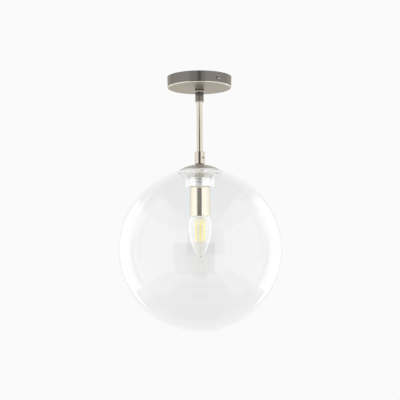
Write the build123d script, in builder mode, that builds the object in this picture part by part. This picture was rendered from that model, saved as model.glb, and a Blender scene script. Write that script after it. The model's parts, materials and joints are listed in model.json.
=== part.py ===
from build123d import *
import os
from math import cos, pi, radians, sin, sqrt, tan

# Globe pendant light, in millimetres
# The origin is on the ceiling plane at the middle of the canopy, and +Z points up into the ceiling.
# The front of the light faces -Y. Every height below the ceiling is negative.

# Fits and clearances
thread_gap = 0.05           # radial, a screw in its tapped hole
slip_gap = 0.15             # radial, a hole around a screw or nipple that passes through
rod_gap = 0.05              # radial, the rod in its collars
end_gap = 0.8               # between the rod's end and the nipple's end inside a collar
glass_gap = 0.3             # between the glass and what carries or seals it
flex_gap = 0.1              # radial, the flex in its bush
contact_gap = 0.05          # between pressed contact faces

# Screw sizes
m3_radius = 1.5
m4_radius = 2.0
nipple_radius = 5.0
nipple_bore_radius = 4.0

# Canopy
canopy_radius = 50.0
canopy_draft = 0.6
canopy_height = 17.2
canopy_wall = 1.0
canopy_edge_radius = 2.0

# Canopy side screws
screw_azimuth = 35.0        # degrees from the front towards +X
side_screw_drop = 8.3
side_screw_length = 6.0
side_screw_head_radius = 2.9
side_screw_head_height = 1.8
slot_width = 0.8
slot_depth = 0.9

# Ceiling bracket
bracket_width = 22.0
bracket_thickness = 2.0
bracket_bend_radius = 2.0
bracket_shoulder = 40.0     # where the strap starts to narrow towards its ears
ear_width = 12.0
ear_length = 12.8
ear_corner_radius = 3.0
ear_wall_gap = 0.5
ceiling_hole_circle = 60.0
ceiling_hole_radius = 2.3
cable_hole_radius = 6.0

# Terminal block on the bracket
block_length = 15.0
block_width = 20.0
block_height = 10.0
block_inner_end = 10.0      # distance of its near end from the centre
block_edge_radius = 0.8
pole_pitch = 10.0
clamp_drop = 4.6            # clamp axis below the strap
clamp_radius = 2.4
clamp_bore_radius = 1.5
clamp_inset = 1.0
clamp_screw_radius = 1.3
clamp_screw_spacing = 7.0
clamp_screw_recess = 0.8

# Earth fittings
earth_screw_offset = 17.0
earth_screw_head_radius = 3.8
earth_screw_head_height = 2.4
earth_washer_thickness = 0.8
lug_thickness = 0.8
lug_land = 2.2              # ring width around the hole
lug_neck_length = 4.0
lug_neck_width = 2.4
lug_barrel_radius = 1.6
lug_barrel_length = 5.5
canopy_lug_azimuth = 60.0   # degrees from the strap's line
loop_lead = 7.0             # straight start of the earth wire at each lug

# Canopy fixing stack
toothed_washer_radius = 8.5
toothed_washer_thickness = 1.0
tooth_count = 16
tooth_depth = 1.2
tooth_gap_width = 1.4
canopy_nut_across_flats = 14.0
nut_thickness = 3.0
nipple_stand = 0.6          # nipple above the canopy nut
bush_flange_radius = 5.6
bush_flange_thickness = 1.0
bush_spigot_length = 4.0

# Collars and rod
collar_radius = 7.0
collar_waist_radius = 6.55
collar_head_length = 5.0
collar_lip_length = 2.0
collar_length = 21.2
collar_edge_radius = 0.4
nipple_engagement = 9.0
rod_radius = 4.5
rod_wall = 1.0
rod_length = 100.3
rod_engagement = 10.3
lower_collar_radius = 7.7
lower_collar_length = 18.7
lower_rod_engagement = 12.2
grub_azimuth = 42.0         # degrees from the front towards +X
grub_drop = 9.3             # below the lower collar's top
grub_socket_flats = 1.5
grub_socket_depth = 1.4

# Domed cap and its washer
cap_washer_radius = 6.5
cap_washer_thickness = 1.2
cap_radius = 30.0
cap_dome_radius = 61.6
cap_thickness = 1.0
cap_seat_radius = 7.6

# Glass globe
globe_radius = 125.0
glass_wall = 2.2
lip_radius = 3.0
mouth_radius = 27.0
funnel_height = 6.4
neck_wall = 2.25
neck_length = 16.1
neck_edge_radius = 1.0
funnel_outer_radius = 33.0  # where the funnel leaves the inside of the sphere
funnel_fillet = 2.0
globe_thread_pitch = 4.0

# Seal between cap and glass
seal_radius = 28.4
seal_inner_radius = 23.5
seal_skirt = 1.4            # skirt below the lip's centre

# Gallery inside the neck
spacer_radius = 7.0
spacer_length = 19.4
gallery_radius = 20.0
gallery_plate = 1.5
gallery_height = 13.5
gallery_wall = 1.4
ridge_height = 0.4
ridge_width = 1.4
gallery_nut_across_flats = 14.0

# Lamp sleeve
sleeve_radius = 15.45
sleeve_wall = 0.7
sleeve_plate = 1.0
sleeve_length = 54.5

# Lampholder
holder_gap = 0.6            # radial, holder in the sleeve
holder_entry_depth = 6.5
holder_chamber_depth = 8.5
holder_chamber_wall = 2.0
holder_partition = 2.0
holder_skirt_gap = 1.0      # holder rim below the threaded shell
nipple_entry_gap = 1.0      # nipple end above the chamber
shell_wall = 0.5
shell_length = 20.0
shell_body_gap = 0.1
shell_ring_radius = 5.0
contact_post_radius = 1.5
contact_post_reach = 1.7    # below the partition
contact_strip_width = 4.0
contact_strip_thickness = 0.5
terminal_offset = 8.0
terminal_length = 5.0
terminal_width = 5.0
terminal_height = 6.0
terminal_screw_radius = 1.2
terminal_screw_length = 4.0
terminal_screw_head_radius = 1.9
terminal_screw_head_height = 1.2

# Flex and its cores
flex_radius = 3.0
core_radius = 1.1
core_offset = 1.35
core_strap_gap = 0.9        # cores below the strap
conductor_radius = 0.5
flex_stand = 0.4            # flex above its bush
flex_tail = 0.3             # flex below the lower nipple

# Bulb
bulb_length = 98.0
bulb_radius = 17.5
bulb_belly = 46.2           # widest place above the tip
bulb_rim_height = 64.0      # outline point above the tip, near the sleeve's rim
bulb_rim_radius = 14.1
bulb_neck_radius = 7.5
glass_neck_rise = 4.0       # glass neck inside the cap's skirt
taper_power = 0.62          # taper of the bulb below its belly
taper_shares = (0.42, 0.66, 0.85)
bulb_glass_wall = 0.7
tip_thickening = 2.5        # glass at the tip over the glass at the sides
bulb_contact_radius = 2.4
bulb_contact_height = 1.4
insulator_height = 2.9
lamp_cap_radius = 6.9
lamp_cap_wall = 0.4
lamp_thread_depth = 0.4
lamp_thread_pitch = 2.82
lamp_cap_length = 14.2
lamp_skirt_length = 6.0
lamp_skirt_radius = 8.4
shell_lamp_gap = 0.3

# Inside the bulb
stem_radius = 1.3
stem_flare_height = 9.0
stem_tip_height = 21.0      # stem's end above the bulb's tip
filament_radius = 1.3
filament_circle_radius = 6.2
filament_azimuth = 9.0
filament_low = 24.5         # filament's lower end above the bulb's tip
filament_length = 33.0
filament_count = 4
support_wire_radius = 0.25
support_stub = 2.0

# Heights that follow from the sizes
canopy_floor = -canopy_height + canopy_wall
side_screw_height = -side_screw_drop
lug_top = canopy_floor + toothed_washer_thickness + lug_thickness
canopy_nut_top = lug_top + nut_thickness
top_nipple_top = canopy_nut_top + nipple_stand
bush_top = top_nipple_top + bush_flange_thickness
flex_top = bush_top + flex_stand
collar_top = -canopy_height
collar_bottom = collar_top - collar_length
top_nipple_bottom = collar_top - nipple_engagement
rod_top = collar_bottom + rod_engagement
rod_bottom = rod_top - rod_length
lower_collar_top = rod_bottom + lower_rod_engagement
lower_collar_bottom = lower_collar_top - lower_collar_length
lower_nipple_top = rod_bottom - end_gap
cap_seat = lower_collar_bottom - cap_washer_thickness
cap_dome_centre = cap_seat - sqrt(cap_dome_radius**2 - cap_seat_radius**2)
cap_inner_dome_radius = cap_dome_radius - cap_thickness
cap_rim_bottom = cap_dome_centre + sqrt(cap_inner_dome_radius**2 - cap_radius**2)
lip_centre_radius = mouth_radius + lip_radius
lip_centre = cap_rim_bottom - glass_gap - lip_radius
globe_centre = lip_centre - sqrt((globe_radius - lip_radius) ** 2 - lip_centre_radius**2)
seal_foot = lip_centre - seal_skirt
funnel_top = seal_foot - glass_gap
funnel_bottom = funnel_top - funnel_height
neck_bore_radius = gallery_radius + glass_gap + thread_gap
neck_radius = neck_bore_radius + neck_wall
neck_bottom = funnel_bottom - neck_length
gallery_top = cap_seat - cap_thickness - spacer_length
gallery_bottom = gallery_top - gallery_height
gallery_nut_top = gallery_top - gallery_plate
sleeve_top = gallery_nut_top - nut_thickness
sleeve_bottom = sleeve_top - sleeve_length
holder_top = sleeve_top - sleeve_plate
holder_radius = sleeve_radius - sleeve_wall - holder_gap
chamber_top = holder_top - holder_entry_depth
chamber_bottom = chamber_top - holder_chamber_depth
chamber_radius = holder_radius - holder_chamber_wall
lower_nipple_bottom = chamber_top + nipple_entry_gap
flex_bottom = lower_nipple_bottom - flex_tail
partition_bottom = chamber_bottom - holder_partition
shell_bottom = partition_bottom - shell_length
holder_bottom = shell_bottom - holder_skirt_gap
shell_bore_radius = lamp_cap_radius + shell_lamp_gap
shell_radius = shell_bore_radius + shell_wall
terminal_top = chamber_bottom + contact_strip_thickness + terminal_height
terminal_middle = terminal_top - terminal_height / 2
bulb_top = partition_bottom - contact_post_reach - contact_gap
bulb_tip = bulb_top - bulb_length
insulator_top = bulb_top - bulb_contact_height
lamp_cap_top = insulator_top - insulator_height
lamp_cap_bottom = lamp_cap_top - lamp_cap_length
lamp_skirt_bottom = lamp_cap_bottom - lamp_skirt_length

# Directions of the bracket, which lies along the line of the two side screws
strap_line = Vector(sin(radians(screw_azimuth)), -cos(radians(screw_azimuth)), 0)
strap_side = Vector(cos(radians(screw_azimuth)), sin(radians(screw_azimuth)), 0)
up = Vector(0, 0, 1)
grub_line = Vector(sin(radians(grub_azimuth)), -cos(radians(grub_azimuth)), 0)
strap_plane = Plane(origin=(0, 0, 0), x_dir=strap_line, z_dir=up)
strap_edge_plane = Plane(origin=(0, 0, 0), x_dir=strap_line, z_dir=-strap_side)
ear_plane = Plane(origin=(0, 0, 0), x_dir=strap_side, z_dir=strap_line)
grub_plane = Plane(origin=(0, 0, lower_collar_top - grub_drop), z_dir=grub_line)

fit_hole_radius = nipple_radius + slip_gap
tapped_hole_radius = nipple_radius + thread_gap


# Shared shapes
def turned(*outline):
    """A body of revolution about Z, from its closed outline of (radius, height) points."""
    with BuildPart() as piece:
        with BuildSketch(Plane.XZ):
            with BuildLine():
                Polyline(*outline, close=True)
            make_face()
        revolve(axis=Axis.Z)
    return piece


def tube(outer_radius, bore_radius, top, bottom):
    """A plain tube or washer about Z between two heights."""
    return turned((bore_radius, bottom), (outer_radius, bottom), (outer_radius, top), (bore_radius, top))


def hex_nut(across_flats, top):
    """A hexagon nut on a nipple, tapped with its thread clearance."""
    with BuildPart() as piece:
        with BuildSketch(Plane.XY.offset(top)):
            RegularPolygon(across_flats / 2, 6, major_radius=False)
            Circle(tapped_hole_radius, mode=Mode.SUBTRACT)
        extrude(amount=-nut_thickness)
    return piece


def sphere_height(radius, sphere_radius, centre):
    """Height of a sphere's upper half at a distance from the axis."""
    return centre + sqrt(sphere_radius**2 - radius**2)


def corner_radii(points):
    """The largest arc that each corner's two runs allow."""
    radii = []
    for before, here, after in zip(points, points[1:], points[2:]):
        run_in = Vector(*here) - Vector(*before)
        run_out = Vector(*after) - Vector(*here)
        half_turn = radians(run_in.get_angle(run_out)) / 2
        radii.append(0.45 * min(run_in.length, run_out.length) / tan(half_turn))
    return radii


def core(name, points, conductor_start, conductor_end):
    """An insulated core along straight runs joined by arcs, with its bare conductor at the far end."""
    radii = corner_radii(points)
    with BuildPart() as piece:
        with BuildLine() as route:
            FilletPolyline(*points, radius=radii)
        with BuildSketch(Plane(origin=route.wire() @ 0, z_dir=route.wire() % 0)):
            Circle(core_radius)
        sweep()
        swept = piece.part.volume
        if conductor_end is not None:
            bare = Vector(*conductor_end) - Vector(*conductor_start)
            with BuildSketch(Plane(origin=conductor_start, z_dir=bare)):
                Circle(conductor_radius)
            extrude(amount=bare.length)
    section = pi * core_radius**2
    rounded = [round(radius, 1) for radius in radii]
    print(f"{name}: radii {rounded}, volume over section times length "
          f"{swept / (section * route.wire().length):.4f}")
    return piece


def on_strap(along, aside, height):
    """A point given along the strap, to its side and by its height."""
    return tuple(strap_plane.from_local_coords(Vector(along, aside, height)))


# Ceiling bracket: a strap with two tapped ears turned down beside the canopy's wall
canopy_inner_foot = canopy_radius - canopy_draft * ear_length / canopy_height - canopy_wall
ear_reach = sqrt((canopy_inner_foot - ear_wall_gap) ** 2 - (ear_width / 2) ** 2)
ear_inside = ear_reach - bracket_thickness
block_middle = -(block_inner_end + block_length / 2)

with BuildPart() as ceiling_bracket:
    with BuildSketch(strap_edge_plane) as bracket_profile:
        with BuildLine():
            Polyline(
                (-ear_reach, -ear_length),
                (-ear_reach, 0),
                (ear_reach, 0),
                (ear_reach, -ear_length),
                (ear_inside, -ear_length),
                (ear_inside, -bracket_thickness),
                (-ear_inside, -bracket_thickness),
                (-ear_inside, -ear_length),
                close=True,
            )
        make_face()
        fillet(bracket_profile.vertices().group_by(Axis.Y)[-1], bracket_bend_radius)
    extrude(amount=bracket_width / 2, both=True)
    with BuildSketch(strap_plane.offset(-ear_length)):
        with BuildLine():
            Polyline(
                (ear_reach, ear_width / 2),
                (ear_inside, ear_width / 2),
                (bracket_shoulder, bracket_width / 2),
                (0, bracket_width / 2),
            )
            mirror(about=Plane.YZ)
            mirror(about=Plane.XZ)
            Line((ear_reach, ear_width / 2), (ear_reach, -ear_width / 2))
            Line((-ear_reach, ear_width / 2), (-ear_reach, -ear_width / 2))
        make_face()
    extrude(amount=ear_length, mode=Mode.INTERSECT)
    ear_corners = ceiling_bracket.edges().filter_by(Axis((0, 0, 0), strap_line)).group_by(Axis.Z)[0]
    fillet(ear_corners, ear_corner_radius)
    with BuildSketch(strap_plane):
        Circle(cable_hole_radius)
        with PolarLocations(ceiling_hole_circle / 2, 2):
            Circle(ceiling_hole_radius)
        with Locations((earth_screw_offset, 0)):
            Circle(m4_radius + thread_gap)
        with Locations((block_middle, 0)):
            Circle(m3_radius + thread_gap)
    extrude(amount=-bracket_thickness, mode=Mode.SUBTRACT)
    with BuildSketch(ear_plane):
        with Locations((0, side_screw_height)):
            Circle(m3_radius + thread_gap)
    extrude(amount=ear_reach, both=True, mode=Mode.SUBTRACT)

# Canopy: a drafted round pan, open to the ceiling
canopy_foot_radius = canopy_radius - canopy_draft
with BuildPart() as canopy:
    with BuildSketch(Plane.XZ) as canopy_profile:
        with BuildLine():
            Polyline(
                (fit_hole_radius, -canopy_height),
                (canopy_foot_radius, -canopy_height),
                (canopy_radius, 0),
                (canopy_radius - canopy_wall, 0),
                (canopy_foot_radius - canopy_wall, canopy_floor),
                (fit_hole_radius, canopy_floor),
                close=True,
            )
        make_face()
        foot_corner = canopy_profile.vertices().group_by(Axis.Y)[0].sort_by(Axis.X)[-1]
        floor_corner = canopy_profile.vertices().group_by(Axis.Y)[1].sort_by(Axis.X)[-1]
        fillet(foot_corner, canopy_edge_radius)
        fillet(floor_corner, max(canopy_edge_radius - canopy_wall, canopy_wall / 2))
    revolve(axis=Axis.Z)
    with BuildSketch(ear_plane):
        with Locations((0, side_screw_height)):
            Circle(m3_radius + slip_gap)
    extrude(amount=canopy_radius, both=True, mode=Mode.SUBTRACT)

# Canopy side screws: slotted round heads outside the wall, shanks through the ears
head_top_height = side_screw_height + side_screw_head_radius
head_seat = canopy_radius + canopy_draft * head_top_height / canopy_height + contact_gap


def side_screw(direction):
    """One side screw, on the strap's line or opposite to it."""
    outward = strap_line * direction
    seat_plane = Plane(
        origin=outward * head_seat + up * side_screw_height,
        x_dir=strap_side,
        z_dir=outward,
    )
    with BuildPart() as screw:
        with BuildSketch(seat_plane):
            Circle(side_screw_head_radius)
        extrude(amount=side_screw_head_height)
        fillet(screw.faces().sort_by(Axis((0, 0, 0), outward))[-1].edges(), side_screw_head_height / 2)
        with BuildSketch(seat_plane):
            Circle(m3_radius)
        extrude(amount=-side_screw_length)
        with BuildSketch(seat_plane.offset(side_screw_head_height)):
            Rectangle(2 * side_screw_head_radius, slot_width)
        extrude(amount=-slot_depth, mode=Mode.SUBTRACT)
    return screw


canopy_screw_front = side_screw(1)
canopy_screw_back = side_screw(-1)

# Terminal block hung under the strap, two poles side by side
block_top = -bracket_thickness
block_bottom = block_top - block_height
clamp_height = block_top - clamp_drop
block_outer_end = block_inner_end + block_length
pole_sides = (-pole_pitch / 2, pole_pitch / 2)
clamp_screw_places = [
    (block_middle + end * clamp_screw_spacing / 2, side) for side in pole_sides for end in (-1, 1)
]
clamp_length = block_length - 2 * clamp_inset
clamp_screw_bottom = block_bottom + clamp_screw_recess
clamp_screw_top = clamp_height - conductor_radius - contact_gap
block_end_plane = ear_plane.offset(-block_outer_end)

with BuildPart() as terminal_block:
    with BuildSketch(strap_plane.offset(block_top)):
        with Locations((block_middle, 0)):
            Rectangle(block_length, block_width)
    extrude(amount=-block_height)
    fillet(terminal_block.edges().filter_by(Axis.Z), block_edge_radius)
    with BuildSketch(block_end_plane):
        with Locations((pole_sides[0], clamp_height), (pole_sides[1], clamp_height)):
            Circle(clamp_radius + thread_gap)
    extrude(amount=block_length, mode=Mode.SUBTRACT)
    with BuildSketch(strap_plane.offset(block_bottom)):
        with Locations(*clamp_screw_places):
            Circle(clamp_screw_radius + slip_gap)
    extrude(amount=clamp_height - block_bottom, mode=Mode.SUBTRACT)
    with BuildSketch(strap_plane.offset(block_bottom)):
        with Locations((block_middle, 0)):
            Circle(m3_radius + slip_gap)
    extrude(amount=block_height, mode=Mode.SUBTRACT)

with BuildPart() as terminal_clamps:
    with BuildSketch(block_end_plane.offset(clamp_inset)):
        with Locations((pole_sides[0], clamp_height), (pole_sides[1], clamp_height)):
            Circle(clamp_radius)
            Circle(clamp_bore_radius, mode=Mode.SUBTRACT)
    extrude(amount=clamp_length)
    with BuildSketch(strap_plane.offset(block_bottom)):
        with Locations(*clamp_screw_places):
            Circle(clamp_screw_radius + thread_gap)
    extrude(amount=clamp_height - block_bottom, mode=Mode.SUBTRACT)

with BuildPart() as terminal_clamp_screws:
    with BuildSketch(strap_plane.offset(clamp_screw_bottom)):
        with Locations(*clamp_screw_places):
            Circle(clamp_screw_radius)
    extrude(amount=clamp_screw_top - clamp_screw_bottom)
    with BuildSketch(strap_plane.offset(clamp_screw_bottom)):
        with Locations(*clamp_screw_places):
            Rectangle(2 * clamp_screw_radius, clamp_screw_radius / 2)
    extrude(amount=clamp_screw_radius / 2, mode=Mode.SUBTRACT)

with BuildPart() as terminal_fixing_screw:
    with BuildSketch(strap_plane.offset(block_bottom)):
        with Locations((block_middle, 0)):
            Circle(m3_radius)
    extrude(amount=block_height + bracket_thickness - contact_gap)
    with BuildSketch(strap_plane.offset(block_bottom)):
        with Locations((block_middle, 0)):
            Circle(side_screw_head_radius)
    extrude(amount=-side_screw_head_height)
    with BuildSketch(strap_plane.offset(block_bottom - side_screw_head_height)):
        with Locations((block_middle, 0)):
            Rectangle(2 * side_screw_head_radius, slot_width)
    extrude(amount=slot_depth, mode=Mode.SUBTRACT)


# Earth fittings: a ring lug at each end of the earth wire
def ring_lug(plane, hole_radius, barrel_rise):
    """A ring lug: ring flat on the plane, neck and crimp barrel along its X axis."""
    ring_radius = hole_radius + lug_land
    barrel_start = ring_radius + lug_neck_length
    with BuildPart() as lug:
        with BuildSketch(plane):
            Circle(ring_radius)
            with Locations((barrel_start / 2 + lug_land / 2, 0)):
                Rectangle(barrel_start + lug_land, lug_neck_width)
            Circle(hole_radius, mode=Mode.SUBTRACT)
        extrude(amount=lug_thickness)
        barrel_origin = plane.from_local_coords(Vector(barrel_start, 0, barrel_rise))
        with BuildSketch(Plane(origin=barrel_origin, x_dir=plane.y_dir, z_dir=plane.x_dir)):
            Circle(lug_barrel_radius)
        extrude(amount=lug_barrel_length)
    return lug


earth_lug_top = -bracket_thickness
bracket_lug_plane = Plane(
    origin=on_strap(earth_screw_offset, 0, earth_lug_top),
    x_dir=strap_side,
    z_dir=-up,
)
barrel_rise = lug_barrel_radius + contact_gap
bracket_lug_hole = m4_radius + slip_gap
bracket_earth_lug = ring_lug(bracket_lug_plane, bracket_lug_hole, barrel_rise)

lug_direction = strap_line * cos(radians(canopy_lug_azimuth)) + strap_side * sin(radians(canopy_lug_azimuth))
canopy_lug_plane = Plane(
    origin=(0, 0, canopy_floor + toothed_washer_thickness),
    x_dir=lug_direction,
    z_dir=up,
)
canopy_barrel_rise = lug_barrel_radius - toothed_washer_thickness + contact_gap
canopy_earth_lug = ring_lug(canopy_lug_plane, fit_hole_radius, canopy_barrel_rise)

earth_washer_top = earth_lug_top - lug_thickness
earth_head_top = earth_washer_top - earth_washer_thickness
with BuildPart() as earth_washer:
    with BuildSketch(strap_plane.offset(earth_washer_top)):
        with Locations((earth_screw_offset, 0)):
            Circle(earth_screw_head_radius + slip_gap)
            Circle(bracket_lug_hole, mode=Mode.SUBTRACT)
    extrude(amount=-earth_washer_thickness)

with BuildPart() as earth_screw:
    with BuildSketch(strap_plane.offset(earth_head_top)):
        with Locations((earth_screw_offset, 0)):
            Circle(m4_radius)
    extrude(amount=-earth_head_top - contact_gap)
    with BuildSketch(strap_plane.offset(earth_head_top)):
        with Locations((earth_screw_offset, 0)):
            Circle(earth_screw_head_radius)
    extrude(amount=-earth_screw_head_height)
    chamfer(earth_screw.edges().group_by(Axis.Z)[0], slot_width / 2)
    with BuildSketch(strap_plane.offset(earth_head_top - earth_screw_head_height)):
        with Locations((earth_screw_offset, 0)):
            Rectangle(2 * earth_screw_head_radius, slot_width)
            Rectangle(slot_width, 2 * earth_screw_head_radius)
    extrude(amount=slot_depth, mode=Mode.SUBTRACT)

# Canopy fixing stack on the top nipple
with BuildPart() as toothed_washer:
    with BuildSketch(Plane.XY.offset(canopy_floor)):
        Circle(toothed_washer_radius)
        Circle(fit_hole_radius, mode=Mode.SUBTRACT)
        with PolarLocations(toothed_washer_radius, tooth_count):
            Rectangle(2 * tooth_depth, tooth_gap_width, mode=Mode.SUBTRACT)
    extrude(amount=toothed_washer_thickness)
canopy_nut = hex_nut(canopy_nut_across_flats, canopy_nut_top)
top_nipple = tube(nipple_radius, nipple_bore_radius, top_nipple_top, top_nipple_bottom)
bush_bore_radius = flex_radius + flex_gap
spigot_radius = nipple_bore_radius - thread_gap
cord_bush = turned(
    (bush_bore_radius, top_nipple_top - bush_spigot_length),
    (spigot_radius, top_nipple_top - bush_spigot_length),
    (spigot_radius, top_nipple_top),
    (bush_flange_radius, top_nipple_top),
    (bush_flange_radius, bush_top),
    (bush_bore_radius, bush_top),
)

# Upper collar: round head, slim waist, bright lip; tapped above and bored for the rod below
rod_bore_radius = rod_radius + rod_gap
collar_step = top_nipple_bottom - end_gap / 2
upper_collar = turned(
    (rod_bore_radius, collar_bottom),
    (collar_radius - collar_edge_radius, collar_bottom),
    (collar_radius, collar_bottom + collar_edge_radius),
    (collar_radius, collar_bottom + collar_lip_length),
    (collar_waist_radius, collar_bottom + collar_lip_length + collar_edge_radius),
    (collar_waist_radius, collar_top - collar_head_length - collar_edge_radius),
    (collar_radius, collar_top - collar_head_length),
    (collar_radius, collar_top),
    (tapped_hole_radius, collar_top),
    (tapped_hole_radius, collar_step),
    (rod_bore_radius, collar_step),
)

# Rod
rod = tube(rod_radius, rod_radius - rod_wall, rod_top, rod_bottom)

# Lower collar, with its tapped hole for the grub screw
lower_step = rod_bottom - end_gap / 2
lower_collar = turned(
    (tapped_hole_radius, lower_collar_bottom),
    (lower_collar_radius - collar_edge_radius, lower_collar_bottom),
    (lower_collar_radius, lower_collar_bottom + collar_edge_radius),
    (lower_collar_radius, lower_collar_top - collar_edge_radius),
    (lower_collar_radius - collar_edge_radius, lower_collar_top),
    (rod_bore_radius, lower_collar_top),
    (rod_bore_radius, lower_step),
    (tapped_hole_radius, lower_step),
)
with BuildPart() as grub_hole:
    with BuildSketch(grub_plane):
        Circle(m3_radius + thread_gap)
    extrude(amount=lower_collar_radius)
lower_collar.part -= grub_hole.part

grub_screw_length = lower_collar_radius - rod_radius - contact_gap - collar_edge_radius
with BuildPart() as grub_screw:
    with BuildSketch(grub_plane.offset(rod_radius + contact_gap)):
        Circle(m3_radius)
    extrude(amount=grub_screw_length)
    with BuildSketch(grub_plane.offset(rod_radius + contact_gap + grub_screw_length)):
        RegularPolygon(grub_socket_flats / 2, 6, major_radius=False)
    extrude(amount=-grub_socket_depth, mode=Mode.SUBTRACT)

# Lower nipple, through the cap, the spacer and the gallery to the lampholder
lower_nipple = tube(nipple_radius, nipple_bore_radius, lower_nipple_top, lower_nipple_bottom)

# Washer and domed cap
cap_washer = tube(cap_washer_radius, fit_hole_radius, lower_collar_bottom, cap_seat)

inner_seat_height = cap_seat - cap_thickness
inner_seat_radius = sqrt(cap_inner_dome_radius**2 - (inner_seat_height - cap_dome_centre) ** 2)
cap_rim_top = sphere_height(cap_radius, cap_dome_radius, cap_dome_centre)
cap_middle_radius = (cap_radius + cap_seat_radius) / 2
with BuildPart() as domed_cap:
    with BuildSketch(Plane.XZ):
        with BuildLine():
            ThreePointArc(
                (cap_seat_radius, cap_seat),
                (cap_middle_radius, sphere_height(cap_middle_radius, cap_dome_radius, cap_dome_centre)),
                (cap_radius, cap_rim_top),
            )
            Line((cap_radius, cap_rim_top), (cap_radius, cap_rim_bottom))
            ThreePointArc(
                (cap_radius, cap_rim_bottom),
                (cap_middle_radius, sphere_height(cap_middle_radius, cap_inner_dome_radius, cap_dome_centre)),
                (inner_seat_radius, inner_seat_height),
            )
            Polyline(
                (inner_seat_radius, inner_seat_height),
                (fit_hole_radius, inner_seat_height),
                (fit_hole_radius, cap_seat),
                (cap_seat_radius, cap_seat),
            )
        make_face()
    revolve(axis=Axis.Z)

# Seal: a soft ring under the cap whose skirt centres the glass mouth
seal_top_radius = cap_inner_dome_radius - glass_gap
seal_lip_radius = lip_radius + glass_gap
seal_skirt_radius = lip_centre_radius - seal_lip_radius
seal_middle_radius = (seal_radius + seal_inner_radius) / 2
seal_inner_top = sphere_height(seal_inner_radius, seal_top_radius, cap_dome_centre)
seal_outer_top = sphere_height(seal_radius, seal_top_radius, cap_dome_centre)
seal_rim_offset = lip_centre_radius - seal_radius
seal_rim_bottom = lip_centre + sqrt(seal_lip_radius**2 - seal_rim_offset**2)
with BuildPart() as globe_seal:
    with BuildSketch(Plane.XZ):
        with BuildLine():
            ThreePointArc(
                (seal_inner_radius, seal_inner_top),
                (seal_middle_radius, sphere_height(seal_middle_radius, seal_top_radius, cap_dome_centre)),
                (seal_radius, seal_outer_top),
            )
            Line((seal_radius, seal_outer_top), (seal_radius, seal_rim_bottom))
            RadiusArc((seal_radius, seal_rim_bottom), (seal_skirt_radius, lip_centre), -seal_lip_radius)
            Polyline(
                (seal_skirt_radius, lip_centre),
                (seal_skirt_radius, seal_foot),
                (seal_inner_radius, seal_foot),
                (seal_inner_radius, seal_inner_top),
            )
        make_face()
    revolve(axis=Axis.Z)

# Glass globe: a sphere whose mouth rolls in over a lip, down a funnel into a straight neck
inner_globe_radius = globe_radius - glass_wall
lip_share = globe_radius / (globe_radius - lip_radius)
lip_join = (lip_centre_radius * lip_share, globe_centre + (lip_centre - globe_centre) * lip_share)
funnel_join = (funnel_outer_radius, sphere_height(funnel_outer_radius, inner_globe_radius, globe_centre))
funnel_foot = (neck_radius, funnel_bottom - neck_wall / 2)
funnel_corners = ((mouth_radius, funnel_top), (neck_bore_radius, funnel_bottom), funnel_foot, funnel_join)
neck_end_corners = ((neck_bore_radius, neck_bottom), (neck_radius, neck_bottom))
with BuildPart() as glass_globe:
    with BuildSketch(Plane.XZ) as globe_profile:
        with BuildLine():
            ThreePointArc((0, globe_centre - globe_radius), (globe_radius, globe_centre), lip_join)
            RadiusArc(lip_join, (mouth_radius, lip_centre), -lip_radius)
            Polyline(
                (mouth_radius, lip_centre),
                (mouth_radius, funnel_top),
                (neck_bore_radius, funnel_bottom),
                (neck_bore_radius, neck_bottom),
                (neck_radius, neck_bottom),
                funnel_foot,
                funnel_join,
            )
            ThreePointArc(
                funnel_join,
                (inner_globe_radius, globe_centre),
                (0, globe_centre - inner_globe_radius),
            )
            Line((0, globe_centre - inner_globe_radius), (0, globe_centre - globe_radius))
        make_face()
        for corner in funnel_corners:
            fillet(globe_profile.vertices().sort_by_distance((*corner, 0))[0], funnel_fillet)
        for corner in neck_end_corners:
            fillet(globe_profile.vertices().sort_by_distance((*corner, 0))[0], neck_edge_radius)
    revolve(axis=Axis.Z)

# Spacer tube, gallery cup and its nut
spacer_tube = tube(spacer_radius, fit_hole_radius, inner_seat_height, gallery_top)

gallery_root_radius = gallery_radius - ridge_height
gallery_cup = turned(
    (fit_hole_radius, gallery_nut_top),
    (gallery_root_radius - gallery_wall, gallery_nut_top),
    (gallery_root_radius - gallery_wall, gallery_bottom),
    (gallery_root_radius, gallery_bottom),
    (gallery_root_radius, gallery_top),
    (fit_hole_radius, gallery_top),
)
ridge_count = int((gallery_height - 2 * ridge_width) / globe_thread_pitch) + 1
first_ridge = gallery_top - ridge_width
for turn in range(ridge_count):
    ridge_middle = first_ridge - turn * globe_thread_pitch
    ridge = turned(
        (gallery_root_radius - gallery_wall / 2, ridge_middle - ridge_width / 2),
        (gallery_root_radius, ridge_middle - ridge_width / 2),
        (gallery_radius, ridge_middle - ridge_width / 6),
        (gallery_radius, ridge_middle + ridge_width / 6),
        (gallery_root_radius, ridge_middle + ridge_width / 2),
        (gallery_root_radius - gallery_wall / 2, ridge_middle + ridge_width / 2),
    )
    gallery_cup.part += ridge.part

gallery_nut = hex_nut(gallery_nut_across_flats, gallery_nut_top)

# Lamp sleeve
sleeve_bore_radius = sleeve_radius - sleeve_wall
lamp_sleeve = turned(
    (fit_hole_radius, holder_top),
    (sleeve_bore_radius, holder_top),
    (sleeve_bore_radius, sleeve_bottom),
    (sleeve_radius, sleeve_bottom),
    (sleeve_radius, sleeve_top),
    (fit_hole_radius, sleeve_top),
)

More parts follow.
